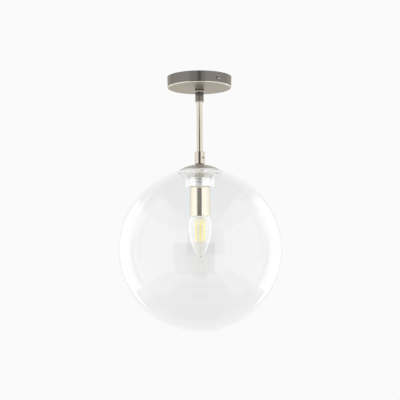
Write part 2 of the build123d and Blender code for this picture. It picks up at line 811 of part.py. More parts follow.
# Lampholder body: nipple entry, wiring chamber, partition, and a well for the threaded shell
well_radius = shell_radius + shell_body_gap
terminal_outer = terminal_offset + terminal_length / 2
holder_body = turned(
    (tapped_hole_radius, holder_top),
    (tapped_hole_radius, chamber_top),
    (chamber_radius, chamber_top),
    (chamber_radius, chamber_bottom),
    (contact_post_radius + slip_gap, chamber_bottom),
    (contact_post_radius + slip_gap, partition_bottom),
    (well_radius, partition_bottom),
    (well_radius, holder_bottom),
    (holder_radius, holder_bottom),
    (holder_radius, holder_top),
)
tab_thickness = 2 * shell_wall
tab_middle = sqrt(shell_radius**2 - (contact_strip_width / 2) ** 2) - tab_thickness / 2
with BuildPart() as holder_cuts:
    with BuildSketch(Plane.XY.offset(chamber_bottom)):
        with Locations((tab_middle, 0)):
            Rectangle(tab_thickness + 2 * slip_gap, contact_strip_width + 2 * slip_gap)
    extrude(amount=-holder_partition)
    with BuildSketch(Plane.XZ):
        with Locations((-terminal_offset, terminal_middle), (terminal_offset, terminal_middle)):
            Circle(terminal_screw_head_radius + slip_gap)
    extrude(amount=holder_radius)
holder_body.part -= holder_cuts.part

# Threaded shell: takes the bulb's cap, and its tab passes the partition to the right terminal
with BuildPart() as threaded_shell:
    with BuildSketch(Plane.XY.offset(shell_bottom)):
        Circle(shell_radius)
        Circle(shell_bore_radius, mode=Mode.SUBTRACT)
    extrude(amount=shell_length)
    with BuildSketch(Plane.XY.offset(partition_bottom - shell_wall)):
        Circle(shell_radius)
        Circle(shell_ring_radius, mode=Mode.SUBTRACT)
    extrude(amount=shell_wall)
    with BuildSketch(Plane.XY.offset(partition_bottom - shell_wall)):
        with Locations((tab_middle, 0)):
            Rectangle(tab_thickness, contact_strip_width)
    extrude(amount=shell_wall + holder_partition + contact_strip_thickness, mode=Mode.ADD)

# Centre contact: a strip on the partition with a post down to the bulb
with BuildPart() as centre_contact:
    with BuildSketch(Plane.XY.offset(chamber_bottom)):
        with Locations((-terminal_outer / 2, 0)):
            Rectangle(terminal_outer, contact_strip_width)
        Circle(contact_strip_width / 2)
    extrude(amount=contact_strip_thickness)
    with BuildSketch(Plane.XY.offset(chamber_bottom)):
        Circle(contact_post_radius)
    extrude(amount=-holder_partition - contact_post_reach)
    fillet(centre_contact.edges().group_by(Axis.Z)[0], contact_post_radius / 2)

# Two brass terminals with wire holes facing the middle, and their clamp screws
terminal_places = ((-terminal_offset, 0), (terminal_offset, 0))
terminal_bottom = terminal_top - terminal_height
with BuildPart() as holder_terminals:
    with BuildSketch(Plane.XY.offset(terminal_bottom)):
        with Locations(*terminal_places):
            Rectangle(terminal_length, terminal_width)
    extrude(amount=terminal_height)
    with BuildSketch(Plane.YZ):
        with Locations((0, terminal_middle)):
            Circle(core_radius + slip_gap)
    extrude(amount=terminal_offset, both=True, mode=Mode.SUBTRACT)
    with BuildSketch(Plane.XZ):
        with Locations((-terminal_offset, terminal_middle), (terminal_offset, terminal_middle)):
            Circle(terminal_screw_radius + thread_gap)
    extrude(amount=terminal_width, mode=Mode.SUBTRACT)

terminal_screw_tip = conductor_radius + contact_gap
terminal_head_face = terminal_screw_tip + terminal_screw_length
with BuildPart() as holder_terminal_screws:
    with BuildSketch(Plane.XZ.offset(terminal_screw_tip)):
        with Locations((-terminal_offset, terminal_middle), (terminal_offset, terminal_middle)):
            Circle(terminal_screw_radius)
    extrude(amount=terminal_screw_length)
    with BuildSketch(Plane.XZ.offset(terminal_head_face)):
        with Locations((-terminal_offset, terminal_middle), (terminal_offset, terminal_middle)):
            Circle(terminal_screw_head_radius)
    extrude(amount=terminal_screw_head_height)
    with BuildSketch(Plane.XZ.offset(terminal_head_face + terminal_screw_head_height)):
        with Locations((-terminal_offset, terminal_middle), (terminal_offset, terminal_middle)):
            Rectangle(2 * terminal_screw_head_radius, slot_width / 2)
    extrude(amount=-terminal_screw_head_height / 2, mode=Mode.SUBTRACT)

# Flex through the rod: one straight sheathed length
with BuildPart() as rod_flex:
    with BuildSketch(Plane.XY.offset(flex_bottom)):
        Circle(flex_radius)
    extrude(amount=flex_top - flex_bottom)

# Cores from the flex to the terminal block, one to each pole
core_crest = -bracket_thickness - core_radius - core_strap_gap
block_entry = -block_inner_end - clamp_inset / 2
core_bend = -block_inner_end / 2


def upper_core(name, side):
    """The core from the flex's top to one pole of the terminal block."""
    pole = side * pole_pitch / 2
    start = on_strap(0, side * core_offset, flex_top)
    points = (
        start,
        on_strap(0, side * core_offset, core_crest),
        on_strap(core_bend, pole * 0.8, (core_crest + clamp_height) / 2),
        on_strap(block_entry, pole, clamp_height),
    )
    tail = on_strap(block_entry - clamp_length + clamp_inset, pole, clamp_height)
    return core(name, points, points[-1], tail)


live_core = upper_core("live core", 1)
neutral_core = upper_core("neutral core", -1)


# Cores from the flex's foot to the lampholder terminals
def lower_core(name, side):
    """The core from the flex's foot to one terminal of the lampholder."""
    points = (
        (side * core_offset, 0, flex_bottom),
        (side * core_offset, 0, terminal_middle),
        (side * (terminal_offset - terminal_length / 2 + end_gap), 0, terminal_middle),
    )
    tail = (side * (terminal_offset - contact_gap), 0, terminal_middle)
    return core(name, points, points[-1], tail)


holder_live_core = lower_core("holder live core", -1)
holder_neutral_core = lower_core("holder neutral core", 1)

# Earth wire between the two lugs, in one loose loop beside the bracket
canopy_barrel_reach = fit_hole_radius + lug_land + lug_neck_length + lug_barrel_length
canopy_barrel_height = canopy_floor + toothed_washer_thickness + canopy_barrel_rise
bracket_barrel_reach = bracket_lug_hole + lug_land + lug_neck_length + lug_barrel_length
bracket_barrel_height = earth_lug_top - barrel_rise
lug_cos = cos(radians(canopy_lug_azimuth))
lug_sin = sin(radians(canopy_lug_azimuth))
loop_height = (canopy_barrel_height + bracket_barrel_height) / 2
earth_points = (
    on_strap(canopy_barrel_reach * lug_cos, canopy_barrel_reach * lug_sin, canopy_barrel_height),
    on_strap(
        (canopy_barrel_reach + loop_lead) * lug_cos,
        (canopy_barrel_reach + loop_lead) * lug_sin,
        canopy_barrel_height,
    ),
    on_strap(earth_screw_offset, bracket_barrel_reach + 2 * loop_lead, loop_height),
    on_strap(earth_screw_offset, bracket_barrel_reach + loop_lead, bracket_barrel_height),
    on_strap(earth_screw_offset, bracket_barrel_reach, bracket_barrel_height),
)
earth_wire = core("earth wire", earth_points, None, None)

# Bulb: contact, insulator, threaded cap with its skirt
with BuildPart() as bulb_contact:
    with BuildSketch(Plane.XY.offset(insulator_top)):
        Circle(bulb_contact_radius)
    extrude(amount=bulb_contact_height)
    fillet(bulb_contact.edges().group_by(Axis.Z)[-1], bulb_contact_height / 2)

lamp_root_radius = lamp_cap_radius - lamp_thread_depth
bulb_insulator = turned(
    (0, insulator_top),
    (bulb_contact_radius + slip_gap, insulator_top),
    (lamp_root_radius, lamp_cap_top),
    (0, lamp_cap_top),
)

lamp_cap_bore = lamp_root_radius - lamp_cap_wall
bulb_cap = turned(
    (lamp_cap_bore, lamp_cap_top),
    (lamp_root_radius, lamp_cap_top),
    (lamp_root_radius, lamp_cap_bottom),
    (lamp_skirt_radius, lamp_skirt_bottom),
    (lamp_skirt_radius - lamp_cap_wall, lamp_skirt_bottom),
    (lamp_cap_bore, lamp_cap_bottom),
)
lamp_ridge_count = int(lamp_cap_length / lamp_thread_pitch)
for turn in range(lamp_ridge_count):
    ridge_middle = lamp_cap_top - (turn + 0.5) * lamp_thread_pitch
    lamp_ridge = turned(
        (lamp_root_radius - lamp_cap_wall / 2, ridge_middle - lamp_thread_pitch * 0.35),
        (lamp_root_radius, ridge_middle - lamp_thread_pitch * 0.35),
        (lamp_cap_radius, ridge_middle - lamp_thread_pitch * 0.12),
        (lamp_cap_radius, ridge_middle + lamp_thread_pitch * 0.12),
        (lamp_root_radius, ridge_middle + lamp_thread_pitch * 0.35),
        (lamp_root_radius - lamp_cap_wall / 2, ridge_middle + lamp_thread_pitch * 0.35),
    )
    bulb_cap.part += lamp_ridge.part


# Bulb glass: a candle shape, widest at its belly and drawn out to a point
neck_top = lamp_skirt_bottom + glass_neck_rise
skirt_slope = (lamp_skirt_radius - lamp_root_radius) / lamp_skirt_length
neck_top_radius = lamp_skirt_radius - lamp_cap_wall - skirt_slope * glass_neck_rise - glass_gap


def candle_outline(inset):
    """Outline points of the bulb from its neck to its tip, moved inwards by an amount."""
    places = [
        (bulb_neck_radius - inset, lamp_skirt_bottom),
        (bulb_rim_radius - inset, bulb_tip + bulb_rim_height),
        (bulb_radius - inset, bulb_tip + bulb_belly),
    ]
    for share in taper_shares:
        swell = cos(share * pi / 2) ** taper_power
        places.append((bulb_radius * swell - inset, bulb_tip + bulb_belly * (1 - share)))
    places.append((0, bulb_tip + tip_thickening * inset))
    return places


outer_candle = candle_outline(0)
inner_candle = candle_outline(bulb_glass_wall)
neck_direction = (0.6, -1)
tip_direction = (-1, -0.6)
with BuildPart() as bulb_glass:
    with BuildSketch(Plane.XZ):
        with BuildLine():
            Line((neck_top_radius, neck_top), outer_candle[0])
            Spline(*outer_candle, tangents=(neck_direction, tip_direction))
            Line(outer_candle[-1], inner_candle[-1])
            Spline(*inner_candle, tangents=(neck_direction, tip_direction))
            Polyline(
                inner_candle[0],
                (neck_top_radius - bulb_glass_wall, neck_top),
                (neck_top_radius, neck_top),
            )
        make_face()
    revolve(axis=Axis.Z)

# Stem: a glass flare in the bulb's neck, drawn out to a rod between the filaments
stem_top = neck_top - end_gap
stem_waist = stem_top - stem_flare_height
stem_tip = bulb_tip + stem_tip_height
flare_radius = neck_top_radius - bulb_glass_wall - glass_gap
bulb_stem = turned(
    (0, stem_top),
    (flare_radius, stem_top),
    (flare_radius - stem_radius / 2, stem_top - stem_flare_height / 3),
    (stem_radius * 1.6, stem_waist),
    (stem_radius, stem_waist - stem_radius * 2),
    (stem_radius, stem_tip + stem_radius / 2),
    (stem_radius / 2, stem_tip),
    (0, stem_tip),
)

# Filaments stand around the stem, each held by a bent wire at both ends
filament_bottom = bulb_tip + filament_low
filament_top = filament_bottom + filament_length
with BuildPart() as bulb_filaments:
    with BuildSketch(Plane.XY.offset(filament_bottom)):
        with PolarLocations(filament_circle_radius, filament_count, start_angle=filament_azimuth):
            Circle(filament_radius)
    extrude(amount=filament_length)

with BuildPart() as filament_wires:
    for turn in range(filament_count):
        azimuth = radians(filament_azimuth + 360 * turn / filament_count)
        wire_plane = Plane(
            origin=(0, 0, 0),
            x_dir=(cos(azimuth), sin(azimuth), 0),
            z_dir=(sin(azimuth), -cos(azimuth), 0),
        )
        for end, way in ((filament_top, 1), (filament_bottom, -1)):
            start = end + way * contact_gap
            bend = start + way * support_stub
            with BuildLine(wire_plane) as wire_path:
                FilletPolyline(
                    (filament_circle_radius, start),
                    (filament_circle_radius, bend),
                    (stem_radius + slip_gap, bend + way * support_stub / 4),
                    radius=support_stub / 2,
                )
            with BuildSketch(Plane(origin=wire_path.wire() @ 0, z_dir=wire_path.wire() % 0)):
                Circle(support_wire_radius)
            sweep()

pieces = {
    "ceiling_bracket": ceiling_bracket,
    "terminal_block": terminal_block,
    "terminal_clamps": terminal_clamps,
    "terminal_clamp_screws": terminal_clamp_screws,
    "terminal_fixing_screw": terminal_fixing_screw,
    "bracket_earth_lug": bracket_earth_lug,
    "canopy_earth_lug": canopy_earth_lug,
    "earth_washer": earth_washer,
    "earth_screw": earth_screw,
    "earth_wire": earth_wire,
    "canopy": canopy,
    "canopy_screw_front": canopy_screw_front,
    "canopy_screw_back": canopy_screw_back,
    "toothed_washer": toothed_washer,
    "canopy_nut": canopy_nut,
    "top_nipple": top_nipple,
    "cord_bush": cord_bush,
    "upper_collar": upper_collar,
    "rod": rod,
    "lower_collar": lower_collar,
    "grub_screw": grub_screw,
    "lower_nipple": lower_nipple,
    "cap_washer": cap_washer,
    "domed_cap": domed_cap,
    "globe_seal": globe_seal,
    "glass_globe": glass_globe,
    "spacer_tube": spacer_tube,
    "gallery_cup": gallery_cup,
    "gallery_nut": gallery_nut,
    "lamp_sleeve": lamp_sleeve,
    "holder_body": holder_body,
    "threaded_shell": threaded_shell,
    "centre_contact": centre_contact,
    "holder_terminals": holder_terminals,
    "holder_terminal_screws": holder_terminal_screws,
    "rod_flex": rod_flex,
    "live_core": live_core,
    "neutral_core": neutral_core,
    "holder_live_core": holder_live_core,
    "holder_neutral_core": holder_neutral_core,
    "bulb_contact": bulb_contact,
    "bulb_insulator": bulb_insulator,
    "bulb_cap": bulb_cap,
    "bulb_glass": bulb_glass,
    "bulb_stem": bulb_stem,
    "bulb_filaments": bulb_filaments,
    "filament_wires": filament_wires,
}

os.makedirs("parts", exist_ok=True)
for name, piece in pieces.items():
    piece.part.label = name
    export_step(piece.part, f"parts/{name}.step")
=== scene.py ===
"""Dress the globe pendant light: glass, nickel, bulb and wiring, in a plain white studio."""
import json
import logging
import math
from dataclasses import dataclass
from enum import Enum
from typing import NamedTuple, Sequence

import bmesh
import bpy
from bmesh.types import BMesh
from bpy.types import Material, Node, NodeSocket, Object
from mathutils import Euler, Matrix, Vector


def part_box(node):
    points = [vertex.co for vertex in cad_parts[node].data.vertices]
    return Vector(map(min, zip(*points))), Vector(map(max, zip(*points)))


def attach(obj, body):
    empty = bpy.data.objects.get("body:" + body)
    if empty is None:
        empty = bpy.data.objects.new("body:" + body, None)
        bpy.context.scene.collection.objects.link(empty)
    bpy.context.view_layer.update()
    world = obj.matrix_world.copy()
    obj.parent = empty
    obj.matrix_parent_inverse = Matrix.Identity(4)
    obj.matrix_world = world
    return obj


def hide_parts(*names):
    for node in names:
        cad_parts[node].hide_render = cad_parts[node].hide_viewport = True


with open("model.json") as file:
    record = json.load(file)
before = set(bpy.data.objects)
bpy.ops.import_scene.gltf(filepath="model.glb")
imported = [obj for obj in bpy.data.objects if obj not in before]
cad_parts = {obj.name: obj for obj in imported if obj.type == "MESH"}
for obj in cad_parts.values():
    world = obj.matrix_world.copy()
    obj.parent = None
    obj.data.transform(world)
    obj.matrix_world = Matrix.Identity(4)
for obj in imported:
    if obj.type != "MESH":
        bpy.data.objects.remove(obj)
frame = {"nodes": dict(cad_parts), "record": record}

LOG = logging.getLogger("pendant")
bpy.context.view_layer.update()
Z_AXIS = (0.0, 0.0, 1.0)
ORIGIN = (0.0, 0.0, 0.0)
WHITE = (1.0, 1.0, 1.0)
MM = 0.001
SAME_POINT = 0.001 * MM
ON_WALL = 0.01 * MM


class Ray(Enum):
    """The outputs of Light Path that the scene's shaders read."""

    CAMERA = "Is Camera Ray"
    SHADOW = "Is Shadow Ray"
    GLOSSY = "Is Glossy Ray"
    TRANSMISSION = "Is Transmission Ray"
    GLOSSY_DEPTH = "Glossy Depth"
    TRANSMISSION_DEPTH = "Transmission Depth"


class Corner(NamedTuple):
    """One point of a turned outline.

    Args:
        radius: Distance from the axis.
        height: Height in the row frame.
        edge: How far the corner is rounded back along both its runs.
    """

    radius: float
    height: float
    edge: float = 0.0


def arc(centre: Corner, radius: float, start: float, end: float, steps: int) -> list[Corner]:
    """Points along an arc of a turned outline.

    Args:
        centre: The arc's centre.
        radius: The arc's radius.
        start: Its first direction in degrees, 0 outwards and 90 up.
        end: Its last direction in degrees.
        steps: How many straight steps it is made of.

    Returns:
        The points from start to end, both included.
    """
    turns = [math.radians(start + (end - start) * step / steps) for step in range(steps + 1)]
    return [Corner(centre.radius + radius * math.cos(t), centre.height + radius * math.sin(t)) for t in turns]


def turned(outline: Sequence[tuple[float, ...]], steps: int = 96, edge_steps: int = 3) -> BMesh:
    """Spin a closed outline about Z into a closed shape.

    Args:
        outline: The outline's corners in order, as Corners or as plain values.
        steps: Faces around the axis.
        edge_steps: Faces across each rounded corner.

    Returns:
        The shape, with its faces pointing outwards.
    """
    shape = bmesh.new()
    corners = [Corner(*values) for values in outline]
    points = [shape.verts.new((corner.radius, 0.0, corner.height)) for corner in corners]
    for first, second in zip(points, points[1:] + points[:1]):
        shape.edges.new((first, second))
    for width in sorted({corner.edge for corner in corners if corner.edge > 0}):
        chosen = [point for point, corner in zip(points, corners) if corner.edge == width]
        bmesh.ops.bevel(
            shape, geom=chosen, offset=width, affect="VERTICES", segments=edge_steps, profile=0.5, material=-1
        )
    bmesh.ops.spin(
        shape, geom=shape.verts[:] + shape.edges[:], cent=ORIGIN, axis=Z_AXIS, angle=math.tau,
        steps=steps, use_merge=True,
    )
    bmesh.ops.remove_doubles(shape, verts=shape.verts[:], dist=SAME_POINT)
    bmesh.ops.recalc_face_normals(shape, faces=shape.faces[:])
    return shape


def wall(radius: float, start: float, end: float, steps: int) -> list[Corner]:
    """Points down or up a straight wall of a turned outline, for a thread to be cut in.

    Args:
        radius: The wall's radius.
        start: Height of its first point.
        end: Height of its last point.
        steps: How many straight steps it is made of.

    Returns:
        The points from start to end, both included.
    """
    return [Corner(radius, start + (end - start) * step / steps) for step in range(steps + 1)]


@dataclass(frozen=True)
class Thread:
    """A rounded right-hand screw thread on a turned wall.

    Args:
        crest: Radius of the wall, and so of the thread's crests.
        depth: Depth of the thread.
        pitch: Height of one turn.
        top: Where the thread ends above.
        foot: Where it ends below.
        sharpness: 1 for an even wave, more for narrow crests.
    """

    crest: float
    depth: float
    pitch: float
    top: float
    foot: float
    sharpness: float = 1.0

    def cut(self, shape: BMesh) -> None:
        """Draw the wall in between the thread's turns, fading out at both ends.

        Args:
            shape: The turned shape, whose wall has several rows of points a turn.
        """
        for point in shape.verts:
            x, y, z = point.co
            reach = math.hypot(x, y)
            if abs(reach - self.crest) < ON_WALL and self.foot < z < self.top:
                turn = (z - self.foot) / self.pitch - math.atan2(y, x) / math.tau
                crest = (0.5 + 0.5 * math.cos(math.tau * turn)) ** self.sharpness
                fade = min(1.0, 2 * (z - self.foot) / self.pitch, 2 * (self.top - z) / self.pitch)
                share = 1 - self.depth * fade * (1 - crest) / reach
                point.co.x, point.co.y = x * share, y * share


class Tree:
    """A shader node tree, with short ways to add and join nodes."""

    def __init__(self, tree: bpy.types.NodeTree) -> None:
        """Keep the tree and clear it."""
        self.tree = tree
        tree.nodes.clear()

    def add(self, kind: str, **settings: object) -> Node:
        """Add a node.

        Args:
            kind: The node's type without its ShaderNode prefix.
            settings: The node's own settings.

        Returns:
            The new node.
        """
        node = self.tree.nodes.new("ShaderNode" + kind)
        for name, value in settings.items():
            setattr(node, name, value)
        return node

    def feed(self, socket: NodeSocket, value: object) -> None:
        """Give a socket a link, when the value is a socket, or a plain value.

        Args:
            socket: The socket to feed.
            value: What it gets.
        """
        if isinstance(value, NodeSocket):
            self.tree.links.new(value, socket)
        else:
            socket.default_value = value

    def made(
        self, kind: str, inputs: dict[int | str, object], output: int | str = 0, **settings: object
    ) -> NodeSocket:
        """Add a node and feed its sockets.

        Args:
            kind: The node's type without its ShaderNode prefix.
            inputs: What its sockets get, by their names or numbers.
            output: The name or number of the socket to give back.
            settings: The node's own settings.

        Returns:
            The output socket.
        """
        node = self.add(kind, **settings)
        for socket, value in inputs.items():
            self.feed(node.inputs[socket], value)
        return node.outputs[output]

    def end(self, kind: str, surface: NodeSocket) -> None:
        """Join a surface to the tree's output node."""
        self.feed(self.add(kind).inputs["Surface"], surface)

    def math(self, operation: str, first: object, second: object = 0.0, clamp: bool = False) -> NodeSocket:
        """The result of a Math node."""
        return self.made("Math", {0: first, 1: second}, operation=operation, use_clamp=clamp)

    def ramp(self, value: object, low: float, high: float, to_low: float, to_high: float) -> NodeSocket:
        """A value smoothly mapped from one range to another, and kept in it."""
        ends = {"Value": value, "From Min": low, "From Max": high, "To Min": to_low, "To Max": to_high}
        return self.made("MapRange", ends, "Result", interpolation_type="SMOOTHSTEP", clamp=True)

    def share(self, value: object, low: float, high: float) -> NodeSocket:
        """How far a value is from low to high, smoothly from 0 to 1."""
        return self.ramp(value, low, high, 0.0, 1.0)

    def ray(self, kind: Ray) -> NodeSocket:
        """The Light Path output of this kind."""
        return self.made("LightPath", {}, kind.value)

    def seen(self) -> NodeSocket:
        """1 on rays from the camera, straight or through glass."""
        return self.math("MAXIMUM", self.ray(Ray.CAMERA), self.ray(Ray.TRANSMISSION))

    def place(self) -> NodeSocket:
        """The shaded place in the object's own frame."""
        return self.made("TexCoord", {}, "Object")

    def parts(self, vector: NodeSocket) -> list[NodeSocket]:
        """The x, y and z of a vector."""
        return [self.made("SeparateXYZ", {0: vector}, part) for part in range(3)]

    def noise(self, vector: NodeSocket, scale: float, detail: float = 2.0) -> NodeSocket:
        """A noise pattern's value at a place."""
        return self.made("TexNoise", {"Vector": vector, "Scale": scale, "Detail": detail})

    def bump(self, height: NodeSocket, strength: float, distance: float) -> NodeSocket:
        """A normal bumped by a height."""
        return self.made("Bump", {"Strength": strength, "Distance": distance, "Height": height})

    def mix(self, share: object, first: object, second: object) -> NodeSocket:
        """Two values mixed by a share."""
        return self.made("Mix", {0: share, 2: first, 3: second}, data_type="FLOAT")

    def blend(self, share: object, first: object, second: object) -> NodeSocket:
        """Two colours mixed by a share."""
        return self.made("Mix", {0: share, 6: first, 7: second}, 2, data_type="RGBA")

    def vector(self, operation: str, first: object, second: object = ORIGIN, scale: object = 1) -> NodeSocket:
        """The result of a Vector Math node."""
        return self.made("VectorMath", {0: first, 1: second, 3: scale}, operation=operation)


def shade(colour: tuple[float, float, float], level: float = 1.0) -> tuple[float, float, float, float]:
    """A colour at a level of brightness, with its alpha."""
    return (*(part * level for part in colour), 1.0)


@dataclass(frozen=True)
class Finish:
    """What every finish has.

    Args:
        title: The material's name.
        colour: Its base colour.
        roughness: Its mean roughness.
    """

    title: str
    colour: tuple[float, float, float]
    roughness: float

    def material(self) -> Material:
        """The finish's material, made on first use.

        Returns:
            The material.
        """
        made = bpy.data.materials.get(self.title)
        if made is None:
            made = bpy.data.materials.new(self.title)
            made.use_nodes = True
            tree = Tree(made.node_tree)
            tree.end("OutputMaterial", self.surface(tree))
        return made

    def principled(self, tree: Tree, **inputs: object) -> NodeSocket:
        """Add the Principled shader.

        Args:
            tree: The material's tree.
            inputs: Sockets to set, with an underscore for each space.

        Returns:
            Its surface.
        """
        sockets = {"Base Color": shade(self.colour), "Roughness": self.roughness}
        sockets.update({name.replace("_", " "): value for name, value in inputs.items()})
        return tree.made("BsdfPrincipled", sockets)

    def surface(self, tree: Tree) -> NodeSocket:
        """The finish's own nodes, plain unless a finish says otherwise."""
        return self.principled(tree)


@dataclass(frozen=True)
class TurnedMetal(Finish):
    """Metal with fine lines turned around the light's axis.

    A face's lie is 0 where it is upright and 1 where it is level. Upright, edge and under scale the colour by
    which way a face points: painted light and shade.

    Args:
        line_scale: How many lines lie in a metre, across them.
        line_depth: The depth of the lines.
        line_strength: How strongly they show.
        drift: How far the lines change around the axis.
        cloud_scale: The size of the uneven patches, as a noise scale.
        spread: How much wider the gloss is across the lines than along them.
        variation: How far the roughness and colour vary along the surface.
        upright: Painted shade: how bright upright faces are beside level ones.
        edge: Painted highlight: how bright rounded edges are.
        under: Painted light: how bright faces that point down are.
        lean: How far the cut lines tip the gloss upward, as a slope.
        matt: How rough level faces are beside upright ones.
        rim: The colour of the gloss seen edge on.
        edge_lie: Where a rounded edge starts, and where it is in full.
        level_lie: Where a level face starts, and where it is in full.
        side_lie: Half the range in which a face changes from down to up.
    """

    line_scale: float = 1500.0
    line_depth: float = 0.001 * MM
    line_strength: float = 0.6
    drift: float = 0.004
    cloud_scale: float = 38.0
    spread: float = 0.3
    variation: float = 0.12
    upright: float = 1.0
    edge: float = 1.0
    under: float = 1.0
    lean: float = 0.0
    matt: float = 1.0
    rim: tuple[float, float, float] = (0.62, 0.58, 0.52)
    edge_lie: tuple[float, float] = (0.2, 0.4)
    level_lie: tuple[float, float] = (0.72, 0.85)
    side_lie: float = 0.1

    def surface(self, tree: Tree) -> NodeSocket:
        """Turned lines in bump and roughness, with the gloss spread across them.

        Args:
            tree: The material's tree.

        Returns:
            The surface.
        """
        place = tree.place()
        x, y, z = tree.parts(place)
        reach = tree.math("SQRT", tree.math("ADD", tree.math("MULTIPLY", x, x), tree.math("MULTIPLY", y, y)))
        drift = tree.math("MULTIPLY", tree.math("ADD", x, y), self.drift)
        lines = tree.noise(tree.made("CombineXYZ", {0: reach, 1: z, 2: drift}), self.line_scale, 3.0)
        clouds = tree.noise(place, self.cloud_scale, 3.0)
        # Painted light and shade: the colour is scaled by which way the face points, through upright, edge
        # and under.
        facing = tree.parts(tree.made("NewGeometry", {}, "Normal"))[2]
        lie = tree.math("ABSOLUTE", facing)
        lying = tree.share(lie, *self.level_lie)
        flat = tree.mix(tree.share(facing, -self.side_lie, self.side_lie), self.under, 1.0)
        level = tree.mix(lying, tree.ramp(lie, *self.edge_lie, self.upright, self.edge), flat)
        tint = tree.blend(
            clouds, shade(self.colour, 1 - self.variation / 2), shade(self.colour, 1 + self.variation / 3)
        )
        uneven = tree.math("MULTIPLY", tree.math("ADD", lines, clouds), self.roughness * self.variation)
        rough = tree.math("ADD", self.roughness * (1 - self.variation), uneven)
        ridges = tree.bump(lines, self.line_strength, self.line_depth)
        tipped = tree.vector("ADD", ridges, (0.0, 0.0, self.lean))
        return self.principled(
            # the colour scaled by the painted light and shade in level
            tree, Base_Color=tree.vector("SCALE", tint, scale=level), Metallic=1.0,
            Specular_Tint=shade(self.rim), Anisotropic=self.spread, Anisotropic_Rotation=0.25,
            Roughness=tree.math("MULTIPLY", rough, tree.mix(lying, 1.0, self.matt)),
            Tangent=tree.vector("CROSS_PRODUCT", Z_AXIS, place),
            Normal=tree.vector("NORMALIZE", tipped),
        )


@dataclass(frozen=True)
class Plated(Finish):
    """Small plated hardware, with a slightly clouded surface.

    Args:
        cloud_scale: The size of the clouds, as a noise scale.
        cloud: How far the colour varies.
        grain: The depth of the surface's grain.
        grain_strength: How strongly it shows.
    """

    cloud_scale: float = 220.0
    cloud: float = 0.16
    grain: float = 0.01 * MM
    grain_strength: float = 0.35

    def surface(self, tree: Tree) -> NodeSocket:
        """Clouded colour and roughness over a fine grain.

        Args:
            tree: The material's tree.

        Returns:
            The surface.
        """
        clouds = tree.noise(tree.place(), self.cloud_scale, 4.0)
        grain = tree.noise(tree.place(), self.cloud_scale * 12, 2.0)
        return self.principled(
            tree, Metallic=1.0, Normal=tree.bump(grain, self.grain_strength, self.grain),
            Base_Color=tree.blend(
                clouds, shade(self.colour, 1 - self.cloud), shade(self.colour, 1 + self.cloud / 2)
            ),
            Roughness=tree.ramp(clouds, 0.3, 0.7, self.roughness * 0.8, self.roughness * 1.25),
        )


@dataclass(frozen=True)
class ClearGlass(Finish):
    """Clear glass that lets the lamps' light through to what it holds.

    Args:
        index: The refractive index.
        wave_scale: The size of the slight waves left by blowing, as a noise scale.
        wave_depth: The depth of the waves.
        wave_strength: How strongly they show.
        let_through: The share of lamp light that passes.
    """

    index: float = 1.5
    wave_scale: float = 14.0
    wave_depth: float = 0.05 * MM
    wave_strength: float = 0.5
    let_through: float = 0.96

    def surface(self, tree: Tree) -> NodeSocket:
        """Slightly wavy glass, and a clear shader for shadow rays.

        Args:
            tree: The material's tree.

        Returns:
            The surface.
        """
        waves = tree.bump(tree.noise(tree.place(), self.wave_scale, 1.0), self.wave_strength, self.wave_depth)
        glass = self.principled(tree, Transmission_Weight=1.0, IOR=self.index, Normal=waves)
        clear = tree.made("BsdfTransparent", {0: shade(WHITE, self.let_through)})
        return tree.made("MixShader", {0: tree.ray(Ray.SHADOW), 1: glass, 2: clear})


@dataclass(frozen=True)
class Moulded(Finish):
    """Moulded plastic or rubber with a fine texture.

    Args:
        texture_scale: The texture's noise scale.
        texture_depth: The depth of the texture.
        texture_strength: How strongly it shows.
        flow_scale: The size of the flow marks, as a noise scale.
        flow: How bright the marks are.
        index: The refractive index.
        clearness: How much light passes through the body.
        glow: How strongly it shines in its own colour: painted light, on parts that are no lamp.
    """

    texture_scale: float = 900.0
    texture_depth: float = 0.02 * MM
    texture_strength: float = 0.4
    flow_scale: float = 60.0
    flow: float = 0.94
    index: float = 1.45
    clearness: float = 0.0
    glow: float = 0.0

    def tint(self, tree: Tree) -> NodeSocket:
        """The colour, with slight flow marks."""
        marks = tree.noise(tree.place(), self.flow_scale)
        return tree.blend(marks, shade(self.colour, self.flow), shade(self.colour))

    def surface(self, tree: Tree) -> NodeSocket:
        """The colour under a fine texture."""
        texture = tree.noise(tree.place(), self.texture_scale)
        # Emission at the glow's strength is painted light.
        return self.principled(
            tree, Base_Color=self.tint(tree), Transmission_Weight=self.clearness, IOR=self.index,
            Emission_Color=shade(self.colour), Emission_Strength=self.glow,
            Normal=tree.bump(texture, self.texture_strength, self.texture_depth),
        )


@dataclass(frozen=True)
class StripedCore(Moulded):
    """Earth core insulation: green with a yellow stripe around it.

    Args:
        second: The stripe's colour.
        turn_scale: How many stripes lie in a metre.
        slant: How steeply they climb.
        blur: Half the width of their soft edges.
    """

    second: tuple[float, float, float] = (0.86, 0.70, 0.04)
    turn_scale: float = 240.0
    slant: float = 1.7
    blur: float = 0.12

    def tint(self, tree: Tree) -> NodeSocket:
        """Slanted bands of two colours.

        Args:
            tree: The material's tree.

        Returns:
            The colour.
        """
        x, y, z = tree.parts(tree.place())
        slanted = tree.math("ADD", tree.math("ADD", x, y), tree.math("MULTIPLY", z, self.slant))
        wave = tree.math("SINE", tree.math("MULTIPLY", slanted, self.turn_scale * math.pi))
        return tree.blend(tree.share(wave, -self.blur, self.blur), shade(self.colour), shade(self.second))
